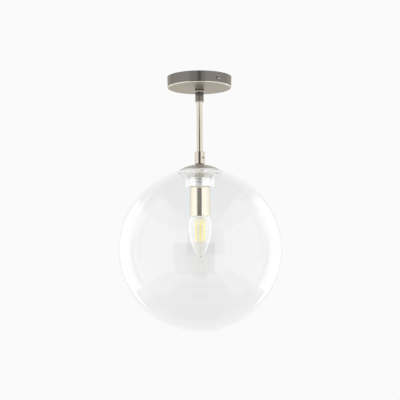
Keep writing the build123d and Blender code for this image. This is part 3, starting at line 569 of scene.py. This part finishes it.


# Painted shade on the upright walls, a painted highlight on rounded edges and painted light on faces that
# point down.
SATIN_NICKEL = TurnedMetal(
    "satin nickel", (0.47, 0.435, 0.39), 0.17, line_scale=2600.0, line_depth=0.002 * MM, spread=0.2,
    upright=0.36, edge=2.0, under=1.22, lean=0.045, matt=2.7, rim=(0.75, 0.72, 0.66),
)
POLISHED_NICKEL = TurnedMetal("polished nickel", (0.61, 0.56, 0.475), 0.1, variation=0.08)
# Painted light: the sleeve's polished nickel, lightened to look brightly lit.
SLEEVE_NICKEL_PAINTED_LIGHT = TurnedMetal("polished sleeve nickel in painted light", (0.86, 0.80, 0.68), 0.1, variation=0.06)
# Painted light: the gallery's plating, lightened near white to look brightly lit.
GALLERY_CHROME_PAINTED_LIGHT = TurnedMetal(
    "gallery plating in painted light", (0.975, 0.975, 0.97), 0.15, spread=0.2, variation=0.05, rim=(0.9, 0.9, 0.9)
)
# Painted light on the cap's underside, through under.
CAP_NICKEL = TurnedMetal(
    "satin cap nickel", (0.58, 0.55, 0.505), 0.32, line_scale=2600.0, line_depth=0.004 * MM, spread=0.6,
    under=1.6, rim=(0.8, 0.77, 0.7),
)
# Painted shade: the washer is made dark to stand for the shadow gap under the collar; the real washer is
# satin nickel.
WASHER_PAINTED_SHADE = Plated("nickel washer in painted shade", (0.17, 0.145, 0.12), 0.35)
BLACK_STEEL = Plated("blackened steel", (0.10, 0.095, 0.09), 0.42)
ZINC_STEEL = Plated("zinc plated steel", (0.66, 0.66, 0.63), 0.34)
PLAIN_BRASS = Plated("plain brass", (0.80, 0.60, 0.27), 0.28)
LAMP_CAP_METAL = Plated("nickel plated lamp cap", (0.76, 0.74, 0.69), 0.2, cloud=0.08)
LEAD_WIRE = Plated("copper coated lead wire", (0.80, 0.60, 0.48), 0.3)
GLOBE_GLASS = ClearGlass("clear globe glass", (0.985, 0.99, 0.988), 0.0)
BULB_GLASS = ClearGlass(
    "clear bulb glass", (0.985, 0.985, 0.96), 0.0, index=1.6, wave_scale=60.0, wave_depth=0.01 * MM
)
STEM_GLASS = ClearGlass("bulb stem glass", (0.97, 0.97, 0.95), 0.03, wave_scale=90.0)
# Painted light: the seal glows so that it looks lit inside the cap.
SEAL_SILICONE = Moulded("clear silicone seal", (0.97, 0.975, 0.96), 0.12, clearness=0.1, glow=0.27)
WHITE_PLASTIC = Moulded("natural white plastic", (0.86, 0.86, 0.83), 0.42)
HOLDER_PLASTIC = Moulded("lampholder plastic", (0.84, 0.83, 0.78), 0.38)
WHITE_SHEATH = Moulded("white flex sheath", (0.85, 0.85, 0.83), 0.5)
BROWN_CORE = Moulded("brown core insulation", (0.20, 0.085, 0.035), 0.35)
BLUE_CORE = Moulded("blue core insulation", (0.03, 0.16, 0.52), 0.35)
EARTH_CORE = StripedCore(
    "green and yellow insulation", (0.10, 0.42, 0.07), 0.36, texture_scale=1400.0, texture_depth=0.01 * MM,
    texture_strength=0.25, index=1.5,
)
BLACK_INSULATOR = Moulded("black lamp insulator", (0.012, 0.012, 0.013), 0.12)
# Painted light: the unlit phosphor glows so that it looks brightly lit.
PHOSPHOR = Moulded("yellow phosphor", (0.98, 0.84, 0.30), 0.5, texture_scale=2500.0, glow=0.55)


@dataclass
class Piece:
    """A new piece of the light, and the CAD node that it stands for.

    Args:
        name: The piece's name.
        node: The CAD node that it replaces.
        finish: Its finish.
    """

    name: str
    node: str
    finish: Finish

    def place(self, shape: BMesh) -> Object:
        """Make the piece from its shape and dress it.

        Args:
            shape: The finished shape in the row frame; it is freed.

        Returns:
            The piece.
        """
        mesh = bpy.data.meshes.new(self.name)
        for face in shape.faces:
            face.smooth = True
        shape.to_mesh(mesh)
        shape.free()
        piece = bpy.data.objects.new(self.name, mesh)
        bpy.context.scene.collection.objects.link(piece)
        mesh.materials.append(self.finish.material())
        even = piece.modifiers.new("even_normals", "WEIGHTED_NORMAL")
        even.keep_sharp = True
        record = frame["record"]
        bodies = record["behaviour"]["bodies"]
        body = next(name for name, nodes in bodies.items() if self.node in nodes)
        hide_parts(self.node)
        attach(piece, body)
        return piece


def centred(node: str) -> tuple[float, float, float]:
    """The radius, foot and top of a node that is round about Z."""
    low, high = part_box(node)
    return high.y, low.z, high.z


@dataclass(frozen=True)
class Mouth:
    """Sizes that the glass, the cap, the seal, the cup and the sleeve share at the globe's mouth.

    Args:
        bore: Inner radius of the glass.
        lip_radius: Radius of the rolled lip's section.
        dome_radius: Outer radius of the domed cap's sphere.
        seat: Radius of the cap's flat, which the washer stands on.
        sheet: Sheet thickness of the cap.
        seal_gap: Clearance between the seal and its neighbours.
        hole: Radius of the nipple's hole in the cap, the cup and the sleeve.
    """

    bore: float = 27.0 * MM
    lip_radius: float = 3.0 * MM
    dome_radius: float = 61.6 * MM
    seat: float = 7.6 * MM
    sheet: float = 1.0 * MM
    seal_gap: float = 0.3 * MM
    hole: float = 5.15 * MM

    def lip(self) -> Corner:
        """The centre of the lip's section."""
        return Corner(self.bore + self.lip_radius, centred("glass_globe")[2] - self.lip_radius)

    def dome(self) -> Corner:
        """The centre of the cap's sphere."""
        return Corner(0.0, centred("domed_cap")[2] - math.sqrt(self.dome_radius**2 - self.seat**2))


MOUTH = Mouth()


@dataclass
class GlassGlobe:
    """The globe: sphere, rolled lip, funnel and straight neck.

    Args:
        wall: Glass thickness of the sphere.
        funnel_height: Height of the funnel below the mouth.
        funnel_outer_radius: Where the funnel meets the inside of the sphere.
        neck_length: Length of the straight neck.
        neck_bore_radius: Inner radius of the neck.
        neck_wall: Glass thickness of the neck.
        bend: Rounding of the funnel's corners.
        rim: Rounding of the neck's end.
    """

    wall: float = 2.2 * MM
    funnel_height: float = 6.4 * MM
    funnel_outer_radius: float = 33.0 * MM
    neck_length: float = 16.1 * MM
    neck_bore_radius: float = 20.35 * MM
    neck_wall: float = 2.25 * MM
    bend: float = 1.6 * MM
    rim: float = 0.9 * MM

    def outline(self) -> list[Corner]:
        """The closed outline, from the outer pole up and back inside.

        Returns:
            The outline's corners.
        """
        radius, foot, _ = centred("glass_globe")
        centre = Corner(0.0, foot + radius)
        inner = radius - self.wall
        lip = MOUTH.lip()
        lip_turn = math.degrees(math.atan2(lip.height - centre.height, lip.radius))
        funnel_top = centred("globe_seal")[1] - MOUTH.seal_gap
        funnel_foot = funnel_top - self.funnel_height
        neck_foot = funnel_foot - self.neck_length
        neck_radius = self.neck_bore_radius + self.neck_wall
        join_turn = math.degrees(math.acos(self.funnel_outer_radius / inner))
        return [
            *arc(centre, radius, -90.0, lip_turn, steps=110),
            *arc(lip, MOUTH.lip_radius, lip_turn, 180.0, steps=12)[1:],
            (MOUTH.bore, funnel_top, self.bend),
            (self.neck_bore_radius, funnel_foot, self.bend),
            (self.neck_bore_radius, neck_foot, self.rim),
            (neck_radius, neck_foot, self.rim),
            (neck_radius, funnel_foot - self.neck_wall / 2, self.bend),
            *arc(centre, inner, join_turn, -90.0, steps=110),
        ]

    def build(self) -> list[Object]:
        """Make the globe."""
        shape = turned(self.outline(), steps=180, edge_steps=5)
        return [Piece("blown_globe", "glass_globe", GLOBE_GLASS).place(shape)]


@dataclass
class Stem:
    """Upper collar, rod and domed cap between the canopy and the globe.

    Args:
        edge: Rounding of the pieces' outer edges.
        rod_wall: Wall of the rod.
        rod_gap: Clearance around the rod in its collar.
        collar_waist: Radius of the collar's waist.
        collar_head: Length of the collar's head.
        collar_lip: Length of the lip at its foot.
        collar_step: Depth of its tapped hole.
        collar_tap: Radius of its tapped hole.
    """

    edge: float = 0.35 * MM
    rod_wall: float = 1.0 * MM
    rod_gap: float = 0.05 * MM
    collar_waist: float = 6.55 * MM
    collar_head: float = 5.0 * MM
    collar_lip: float = 2.0 * MM
    collar_step: float = 9.4 * MM
    collar_tap: float = 5.05 * MM

    def build_collar(self) -> Object:
        """Make the upper collar, with a head, a waist and a bright lip.

        Returns:
            The collar.
        """
        radius, foot, top = centred("upper_collar")
        bore = centred("rod")[0] + self.rod_gap
        outline = [
            (bore, foot, self.edge),
            (radius, foot, 2 * self.edge),
            (radius, foot + self.collar_lip, self.edge),
            (self.collar_waist, foot + self.collar_lip + self.edge, self.edge / 2),
            (self.collar_waist, top - self.collar_head - self.edge, self.edge / 2),
            (radius, top - self.collar_head, self.edge),
            (radius, top),
            (self.collar_tap, top),
            (self.collar_tap, top - self.collar_step),
            (bore, top - self.collar_step),
        ]
        return Piece("turned_collar", "upper_collar", SATIN_NICKEL).place(turned(outline, steps=72))

    def build_cap(self) -> Object:
        """Make the domed cap, with its rim turned smooth.

        Returns:
            The cap.
        """
        radius, _, top = centred("domed_cap")
        centre = MOUTH.dome()
        inner = MOUTH.dome_radius - MOUTH.sheet
        seat = math.degrees(math.acos(MOUTH.seat / MOUTH.dome_radius))
        rim = math.degrees(math.acos(radius / MOUTH.dome_radius))
        inner_rim = math.degrees(math.acos(radius / inner))
        inner_seat = math.degrees(math.asin((top - MOUTH.sheet - centre.height) / inner))
        outline = [
            (MOUTH.hole, top),
            *arc(centre, MOUTH.dome_radius, seat, rim, steps=40),
            *arc(centre, inner, inner_rim, inner_seat, steps=40),
            (MOUTH.hole, top - MOUTH.sheet),
        ]
        outer = radius - self.edge / 10
        rounded = [(r, z, self.edge if r > outer else 0.0) for r, z, *_ in outline]
        return Piece("spun_cap", "domed_cap", CAP_NICKEL).place(turned(rounded, steps=128))

    def build_rod(self) -> Object:
        """Make the rod, with broken ends.

        Returns:
            The rod.
        """
        radius, foot, top = centred("rod")
        bore = radius - self.rod_wall
        corners = [(bore, foot), (radius, foot), (radius, top), (bore, top)]
        outline = [(r, z, self.edge / 2) for r, z in corners]
        return Piece("drawn_rod", "rod", POLISHED_NICKEL).place(turned(outline, steps=72))

    def build(self) -> list[Object]:
        """Make the collar, the cap and the rod."""
        return [self.build_collar(), self.build_cap(), self.build_rod()]


@dataclass
class Gallery:
    """The seal over the globe's lip, the threaded cup in its neck and the sleeve below.

    Args:
        cup_plate: Thickness of the cup's plate.
        cup_wall: The cup's wall at the thread's roots.
        thread_depth: Depth of the cup's thread.
        thread_pitch: Its pitch.
        thread_rows: Rows of points in a turn.
        rim: Rounding of the cup's and sleeve's rims.
        sleeve_wall: Wall of the sleeve.
        sleeve_plate: Thickness of the sleeve's plate.
        seal_inner_radius: Inner radius of the seal.
    """

    cup_plate: float = 1.5 * MM
    cup_wall: float = 1.4 * MM
    thread_depth: float = 0.4 * MM
    thread_pitch: float = 4.0 * MM
    thread_rows: int = 12
    rim: float = 0.35 * MM
    sleeve_wall: float = 0.7 * MM
    sleeve_plate: float = 1.0 * MM
    seal_inner_radius: float = 23.5 * MM

    def build_cup(self) -> Object:
        """Make the cup, with a coarse rounded thread for the glass neck.

        Returns:
            The cup.
        """
        radius, foot, top = centred("gallery_cup")
        inner = radius - self.thread_depth - self.cup_wall
        rows = round(self.thread_rows * (top - foot) / self.thread_pitch)
        outline = [
            (MOUTH.hole, top - self.cup_plate),
            (inner, top - self.cup_plate),
            (inner, foot),
            *wall(radius, foot, top, rows),
            (MOUTH.hole, top),
        ]
        shape = turned(outline, steps=144)
        Thread(radius, self.thread_depth, self.thread_pitch, top - self.rim, foot + self.rim, 2.0).cut(shape)
        return Piece("threaded_cup", "gallery_cup", GALLERY_CHROME_PAINTED_LIGHT).place(shape)

    def build_sleeve(self) -> Object:
        """Make the sleeve, a drawn can with rounded shoulders.

        Returns:
            The sleeve.
        """
        radius, foot, top = centred("lamp_sleeve")
        inner = radius - self.sleeve_wall
        outline = [
            (MOUTH.hole, top - self.sleeve_plate),
            (inner, top - self.sleeve_plate),
            (inner, foot, self.rim * 0.8),
            (radius, foot, self.rim * 0.8),
            (radius, top, 2 * self.rim),
            (MOUTH.hole, top),
        ]
        return Piece("drawn_sleeve", "lamp_sleeve", SLEEVE_NICKEL_PAINTED_LIGHT).place(turned(outline, steps=128))

    def build_seal(self) -> Object:
        """Make the seal, hollowed below to sit on the rolled lip.

        Returns:
            The seal.
        """
        radius, foot, _ = centred("globe_seal")
        lip = MOUTH.lip()
        hollow = MOUTH.lip_radius + MOUTH.seal_gap
        dome_radius = MOUTH.dome_radius - MOUTH.sheet - MOUTH.seal_gap
        rim_turn = 180.0 - math.degrees(math.acos((lip.radius - radius) / hollow))
        top_turns = [math.degrees(math.acos(r / dome_radius)) for r in (radius, self.seal_inner_radius)]
        outline = [
            (self.seal_inner_radius, foot, self.rim),
            (lip.radius - hollow, foot, self.rim),
            *arc(lip, hollow, 180.0, rim_turn, steps=12),
            *arc(MOUTH.dome(), dome_radius, *top_turns, steps=6),
        ]
        return Piece("moulded_seal", "globe_seal", SEAL_SILICONE).place(turned(outline, steps=128))

    def build(self) -> list[Object]:
        """Make the cup, the sleeve and the seal."""
        return [self.build_cup(), self.build_sleeve(), self.build_seal()]


@dataclass
class FilamentBulb:
    """A clear candle bulb: blown glass, threaded cap, glass stem and coated filaments.

    Args:
        belly: Height of its widest place above the tip.
        shoulder: Radius and height above the tip where the glass enters the sleeve.
        neck_radius: Radius of the glass at the cap's skirt.
        neck_top_radius: Its radius at its upper end.
        wall: Thickness of the glass.
        tip_wall: Thickness of the glass at its tip.
        taper: How full the glass is below its belly.
        swell: How fast it widens below the neck.
        side_steps: Rows of points in the neck, and in the shoulder.
        cap_crest: Radius of the cap's thread.
        thread_depth: Depth of the thread.
        thread_pitch: Its pitch.
        thread_rows: Rows of points in a turn.
        cap_wall: Sheet thickness of the cap.
        skirt_length: Length of the cone below the thread.
        skirt_edge: Rounding of the skirt's end.
        filament_radius: Radius of a coated filament.
        filament_circle: Radius of the ring that the filaments stand on.
        filament_azimuth: Where the first one stands, in degrees.
        filament_count: How many there are.
        bead_count: How many beads the coating of one has.
        bead_rows: Rows of points in a bead.
        bead_depth: Depth of the coating between the beads.
    """

    belly: float = 46.2 * MM
    shoulder: tuple[float, float] = (14.1 * MM, 64.0 * MM)
    neck_radius: float = 7.5 * MM
    neck_top_radius: float = 6.5 * MM
    wall: float = 0.7 * MM
    tip_wall: float = 1.75 * MM
    taper: float = 0.62
    swell: float = 1.2
    side_steps: int = 18
    cap_crest: float = 6.9 * MM
    thread_depth: float = 0.4 * MM
    thread_pitch: float = 2.82 * MM
    thread_rows: int = 10
    cap_wall: float = 0.4 * MM
    skirt_length: float = 6.0 * MM
    skirt_edge: float = 0.15 * MM
    filament_radius: float = 1.3 * MM
    filament_circle: float = 6.2 * MM
    filament_azimuth: float = 9.0
    filament_count: int = 4
    bead_count: int = 14
    bead_rows: int = 4
    bead_depth: float = 0.12 * MM

    def side(self, tip: float, skirt: float, inset: float) -> list[Corner]:
        """One face of the glass, from its neck to its tip.

        Args:
            tip: Height of the tip.
            skirt: Height of the cap's lower end.
            inset: 0 for the outer face, the wall for the inner one.

        Returns:
            The face's points.
        """
        radius = centred("bulb_glass")[0] - inset
        neck = self.neck_radius - inset
        shoulder, shoulder_height = self.shoulder
        shoulder -= inset
        steps = self.side_steps
        eased = [math.sin(step / steps * math.pi / 2) for step in range(steps)]
        points = []
        for step, ease in enumerate(eased):
            height = skirt + (tip + shoulder_height - skirt) * step / steps
            points.append(Corner(neck + (shoulder - neck) * ease**self.swell, height))
        for step, ease in enumerate(eased):
            height = tip + shoulder_height + (self.belly - shoulder_height) * step / steps
            points.append(Corner(shoulder + (radius - shoulder) * ease, height))
        foot = tip + (self.tip_wall if inset else 0.0)
        drop = tip + self.belly - foot
        for step in range(3 * steps):
            down = math.sin(step / (3 * steps) * math.pi / 2)
            spread = math.cos(down * math.pi / 2) ** self.taper
            points.append(Corner(radius * spread, tip + self.belly - drop * down))
        return [*points, Corner(0.0, foot)]

    def build_glass(self) -> Object:
        """Make the glass as one closed wall.

        Returns:
            The glass.
        """
        _, tip, top = centred("bulb_glass")
        skirt = centred("bulb_cap")[1]
        outline = [
            (self.neck_top_radius, top),
            *self.side(tip, skirt, 0.0),
            *reversed(self.side(tip, skirt, self.wall)),
            (self.neck_top_radius - self.wall, top),
        ]
        return Piece("blown_bulb", "bulb_glass", BULB_GLASS).place(turned(outline, steps=128))

    def build_cap(self) -> Object:
        """Make the cap, with its rolled thread and the cone below it.

        Returns:
            The cap.
        """
        skirt_radius, foot, top = centred("bulb_cap")
        bore = self.cap_crest - self.thread_depth - self.cap_wall
        cone_top = foot + self.skirt_length
        rows = round(self.thread_rows * (top - cone_top) / self.thread_pitch)
        outline = [
            (bore, top),
            *wall(self.cap_crest, top, cone_top, rows),
            (skirt_radius, foot, self.skirt_edge),
            (skirt_radius - self.cap_wall, foot, self.skirt_edge),
            (bore, cone_top),
        ]
        shape = turned(outline, steps=96)
        Thread(self.cap_crest, self.thread_depth, self.thread_pitch, top, cone_top).cut(shape)
        return Piece("rolled_lamp_cap", "bulb_cap", LAMP_CAP_METAL).place(shape)

    def build_filaments(self) -> Object:
        """Make the filaments: beads of phosphor in a row on each.

        Returns:
            The filaments, as one piece.
        """
        _, foot, top = centred("bulb_filaments")
        rows = self.bead_rows * self.bead_count
        outline = [(0.0, foot)]
        for row in range(rows + 1):
            dent = self.bead_depth * (0.5 + 0.5 * math.cos(math.tau * row / self.bead_rows))
            outline.append((self.filament_radius - dent, foot + (top - foot) * row / rows))
        outline.append((0.0, top))
        shape = turned(outline, steps=20)
        first = shape.verts[:] + shape.edges[:] + shape.faces[:]
        bmesh.ops.translate(shape, verts=shape.verts[:], vec=(self.filament_circle, 0.0, 0.0))
        for turn in range(1, self.filament_count):
            copy = bmesh.ops.duplicate(shape, geom=first)["geom"]
            points = [item for item in copy if isinstance(item, bmesh.types.BMVert)]
            self.turn(shape, points, 360.0 * turn / self.filament_count)
        self.turn(shape, shape.verts[:], self.filament_azimuth)
        return Piece("coated_filaments", "bulb_filaments", PHOSPHOR).place(shape)

    def turn(self, shape: BMesh, points: list[bmesh.types.BMVert], degrees: float) -> None:
        """Turn points about the light's axis."""
        spun = Matrix.Rotation(math.radians(degrees), 3, "Z")
        bmesh.ops.rotate(shape, verts=points, cent=ORIGIN, matrix=spun)

    def build(self) -> list[Object]:
        """Make the glass, the cap and the filaments."""
        return [self.build_glass(), self.build_cap(), self.build_filaments()]


CAD_FINISHES = {
    SATIN_NICKEL: ("canopy", "canopy_screw_front", "canopy_screw_back"),
    WASHER_PAINTED_SHADE: ("cap_washer",),
    POLISHED_NICKEL: ("lower_collar", "spacer_tube"),
    BLACK_STEEL: ("grub_screw",),
    ZINC_STEEL: (
        "ceiling_bracket", "toothed_washer", "canopy_nut", "top_nipple", "lower_nipple", "gallery_nut",
        "earth_screw", "earth_washer", "terminal_fixing_screw", "terminal_clamp_screws",
        "holder_terminal_screws",
    ),
    PLAIN_BRASS: (
        "terminal_clamps", "holder_terminals", "centre_contact", "threaded_shell", "bracket_earth_lug",
        "canopy_earth_lug",
    ),
    STEM_GLASS: ("bulb_stem",),
    WHITE_PLASTIC: ("terminal_block", "cord_bush"),
    HOLDER_PLASTIC: ("holder_body",),
    WHITE_SHEATH: ("rod_flex",),
    BROWN_CORE: ("live_core", "holder_live_core"),
    BLUE_CORE: ("neutral_core", "holder_neutral_core"),
    EARTH_CORE: ("earth_wire",),
    LAMP_CAP_METAL: ("bulb_contact",),
    BLACK_INSULATOR: ("bulb_insulator",),
    LEAD_WIRE: ("filament_wires",),
}


def dress_frame() -> None:
    """Give every CAD node that stays its finish."""
    for finish, nodes in CAD_FINISHES.items():
        for node in nodes:
            for slot in frame["nodes"][node].material_slots:
                slot.material = finish.material()
        LOG.info("%s: %s", finish.title, ", ".join(nodes))


@dataclass(frozen=True)
class SoftWall:
    """A flat soft light wall beside the light, square to the left-right axis.

    Every length is a share of the wall's distance from the light.

    Args:
        side: -1 on the left of the camera's picture, 1 on the right.
        near: Where it ends towards the camera.
        far: Where it ends behind the light, negative when in front of it.
        foot: Its lower edge.
        top: Its upper edge.
        level: How bright it is, where 1 is full white.
        blur: Half the width of its soft edges.
    """

    side: float
    near: float
    far: float
    foot: float
    top: float
    level: float
    blur: float = 0.12


@dataclass
class Studio:
    """White surroundings, two soft walls, a dark camera side, a floor and the camera.

    Args:
        white: How bright the background is, where 1 is full white.
        through_glass: How bright it is through the globe's glass.
        through_bulb: How bright it is through more layers of glass.
        backdrop: How bright the backdrop is beside and behind the camera's view.
        overhead: How bright the studio is above.
        front: How bright it is in front, above and below the camera.
        camera_side: How bright the dark spot around the camera is.
        enclosed: How bright it is for light mirrored more than once inside glass.
        spot: The dark spot's core and soft edge, in degrees from the camera.
        above: How bright it is in front, above the spot.
        gap: The core and soft edge of the darker gap there, to each side.
        gap_foot: Where it starts, as a height.
        rear: Where the side behind the light starts, as a depth.
        rear_lid: Where the backdrop changes to what is above and below.
        front_lid: The same in front.
        walls: The soft walls.
        floor_height: Height of the floor.
        floor_half_width: Half the floor's side.
        floor_glow: The share of the floor's brightness that takes no shadow.
        floor_shade: How light the rest of it is.
        camera_distance: Distance of the camera from the light's axis.
        camera_height: Height of the camera.
        camera_tilt: Its upward tilt in degrees.
        camera_roll: How far it leans sideways in degrees.
        layers: How many faces of glass the globe has, and the globe and the bulb.
        bounces: How often light may pass or leave a surface.
        lens: Its focal length in millimetres.
        sensor: Width of its sensor in millimetres.
        clip_start: Where its view starts.
    """

    white: float = 0.956
    through_glass: float = 0.85
    through_bulb: float = 0.9
    backdrop: float = 0.9
    overhead: float = 0.65
    front: float = 0.5
    camera_side: float = 0.12
    enclosed: float = 0.95
    spot: tuple[float, float] = (18.0, 36.0)
    above: float = 1.1
    gap: tuple[float, float] = (0.07, 0.15)
    gap_foot: tuple[float, float] = (0.15, 0.17)
    rear: tuple[float, float] = (0.3, 0.42)
    rear_lid: tuple[float, float] = (0.5, 0.9)
    front_lid: tuple[float, float] = (0.6, 0.9)
    walls: Sequence[SoftWall] = (
        SoftWall(-1.0, -1.33, 0.28, -1.43, 1.43, 1.3),
        SoftWall(1.0, -2.75, 0.24, -1.43, 1.43, 1.3),
        SoftWall(-1.0, 0.38, 1.9, -2.2, 0.75, 1.3),
        SoftWall(1.0, 0.34, 1.9, -2.2, 0.9, 1.35),
    )
    floor_height: float = -2.0
    floor_half_width: float = 2.6
    floor_glow: float = 0.7
    floor_shade: float = 0.9
    camera_distance: float = 1.09
    camera_height: float = -0.2365
    camera_tilt: float = 2.407
    camera_roll: float = -0.3
    layers: tuple[float, float] = (4.5, 8.0)
    bounces: int = 32
    lens: float = 63.57
    sensor: float = 36.0
    clip_start: float = 10.0 * MM

    def sky(self, tree: Tree) -> NodeSocket:
        """The studio's brightness in a direction.

        Args:
            tree: The world's tree.

        Returns:
            The brightness.
        """
        x, y, z = tree.parts(tree.made("TexCoord", {}, "Generated"))
        beside = tree.math("ABSOLUTE", x)
        steepness = tree.math("ABSOLUTE", z)
        from_camera = tree.math("DEGREES", tree.math("ARCCOSINE", tree.math("MULTIPLY", y, -1.0)))
        ahead = tree.ramp(from_camera, *self.spot, self.camera_side, self.front)
        high = tree.ramp(beside, *self.gap, self.front, self.above)
        ahead = tree.mix(tree.share(z, *self.gap_foot), ahead, high)
        ahead = tree.mix(tree.share(steepness, *self.front_lid), ahead, self.overhead)
        band = tree.ramp(steepness, *self.rear_lid, self.backdrop, self.overhead)
        level = tree.mix(tree.share(y, *self.rear), ahead, band)
        distance = tree.math("MAXIMUM", beside, MM)
        along = tree.math("DIVIDE", y, distance)
        up = tree.math("DIVIDE", z, distance)
        for wall in self.walls:
            share = tree.math("GREATER_THAN", tree.math("MULTIPLY", x, wall.side), 0.0)
            for value, low, high in ((along, wall.near, wall.far), (up, wall.foot, wall.top)):
                past_low = tree.ramp(value, low - wall.blur, low + wall.blur, 0.0, 1.0)
                below_high = tree.ramp(value, high - wall.blur, high + wall.blur, 1.0, 0.0)
                share = tree.math("MULTIPLY", share, tree.math("MULTIPLY", past_low, below_high))
            level = tree.mix(share, level, wall.level)
        deep = tree.math("SUBTRACT", tree.ray(Ray.GLOSSY_DEPTH), 1.0, clamp=True)
        return tree.mix(deep, level, self.enclosed)

    def build_world(self) -> None:
        """White behind the object; the panels where it is lit or mirrors them."""
        world = bpy.data.worlds.new("studio")
        bpy.context.scene.world = world
        world.use_nodes = True
        tree = Tree(world.node_tree)
        direct = tree.math("SUBTRACT", tree.seen(), tree.ray(Ray.GLOSSY_DEPTH), clamp=True)
        layers = tree.ray(Ray.TRANSMISSION_DEPTH)
        clear = tree.ramp(layers, *self.layers, self.through_glass, self.through_bulb)
        white = tree.mix(tree.ray(Ray.CAMERA), clear, self.white)
        strength = tree.mix(direct, self.sky(tree), white)
        tree.end("OutputWorld", tree.made("Background", {"Color": shade(WHITE), "Strength": strength}))

    def build_floor(self) -> None:
        """A plain pale floor that keeps the object's shadow."""
        shape = bmesh.new()
        bmesh.ops.create_grid(shape, x_segments=1, y_segments=1, size=self.floor_half_width)
        bmesh.ops.translate(shape, verts=shape.verts[:], vec=(0.0, 0.0, self.floor_height))
        mesh = bpy.data.meshes.new("floor")
        shape.to_mesh(mesh)
        shape.free()
        floor = bpy.data.objects.new("floor", mesh)
        bpy.context.scene.collection.objects.link(floor)
        material = bpy.data.materials.new("pale floor")
        material.use_nodes = True
        tree = Tree(material.node_tree)
        seen = tree.math("MAXIMUM", tree.seen(), tree.ray(Ray.GLOSSY))
        level = tree.mix(tree.ray(Ray.TRANSMISSION), self.white, self.through_glass)
        glow = tree.made("Emission", {"Color": shade(WHITE), "Strength": level})
        matt = tree.made("BsdfDiffuse", {"Color": shade(WHITE, self.floor_shade)})
        share = tree.math("MULTIPLY", seen, self.floor_glow)
        tree.end("OutputMaterial", tree.made("MixShader", {0: share, 1: matt, 2: glow}))
        mesh.materials.append(material)

    def build_camera(self) -> None:
        """The camera in front, level with the globe's upper half."""
        data = bpy.data.cameras.new("camera")
        data.lens = self.lens
        data.sensor_width = self.sensor
        data.clip_start = self.clip_start
        camera = bpy.data.objects.new("camera", data)
        camera.location = (0.0, -self.camera_distance, self.camera_height)
        upright = Euler((math.radians(90 + self.camera_tilt), 0.0, 0.0)).to_matrix()
        lean = Matrix.Rotation(math.radians(self.camera_roll), 3, "Z")
        camera.rotation_euler = (upright @ lean).to_euler()
        bpy.context.scene.collection.objects.link(camera)
        bpy.context.scene.camera = camera

    def build(self) -> None:
        """Make the world, the floor and the camera."""
        scene = bpy.context.scene
        scene.view_settings.view_transform = "Standard"
        scene.cycles.max_bounces = self.bounces
        scene.cycles.transmission_bounces = self.bounces
        scene.cycles.glossy_bounces = self.bounces // 2
        scene.cycles.transparent_max_bounces = self.bounces // 2
        self.build_world()
        self.build_floor()
        self.build_camera()


def main() -> None:
    """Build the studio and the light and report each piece."""
    logging.basicConfig(level=logging.INFO, format="%(message)s")
    Studio().build()
    dress_frame()
    for assembly in (GlassGlobe(), Stem(), Gallery(), FilamentBulb()):
        for piece in assembly.build():
            LOG.info("%s: %d faces", piece.name, len(piece.data.polygons))


if __name__ == "__main__":
    main()
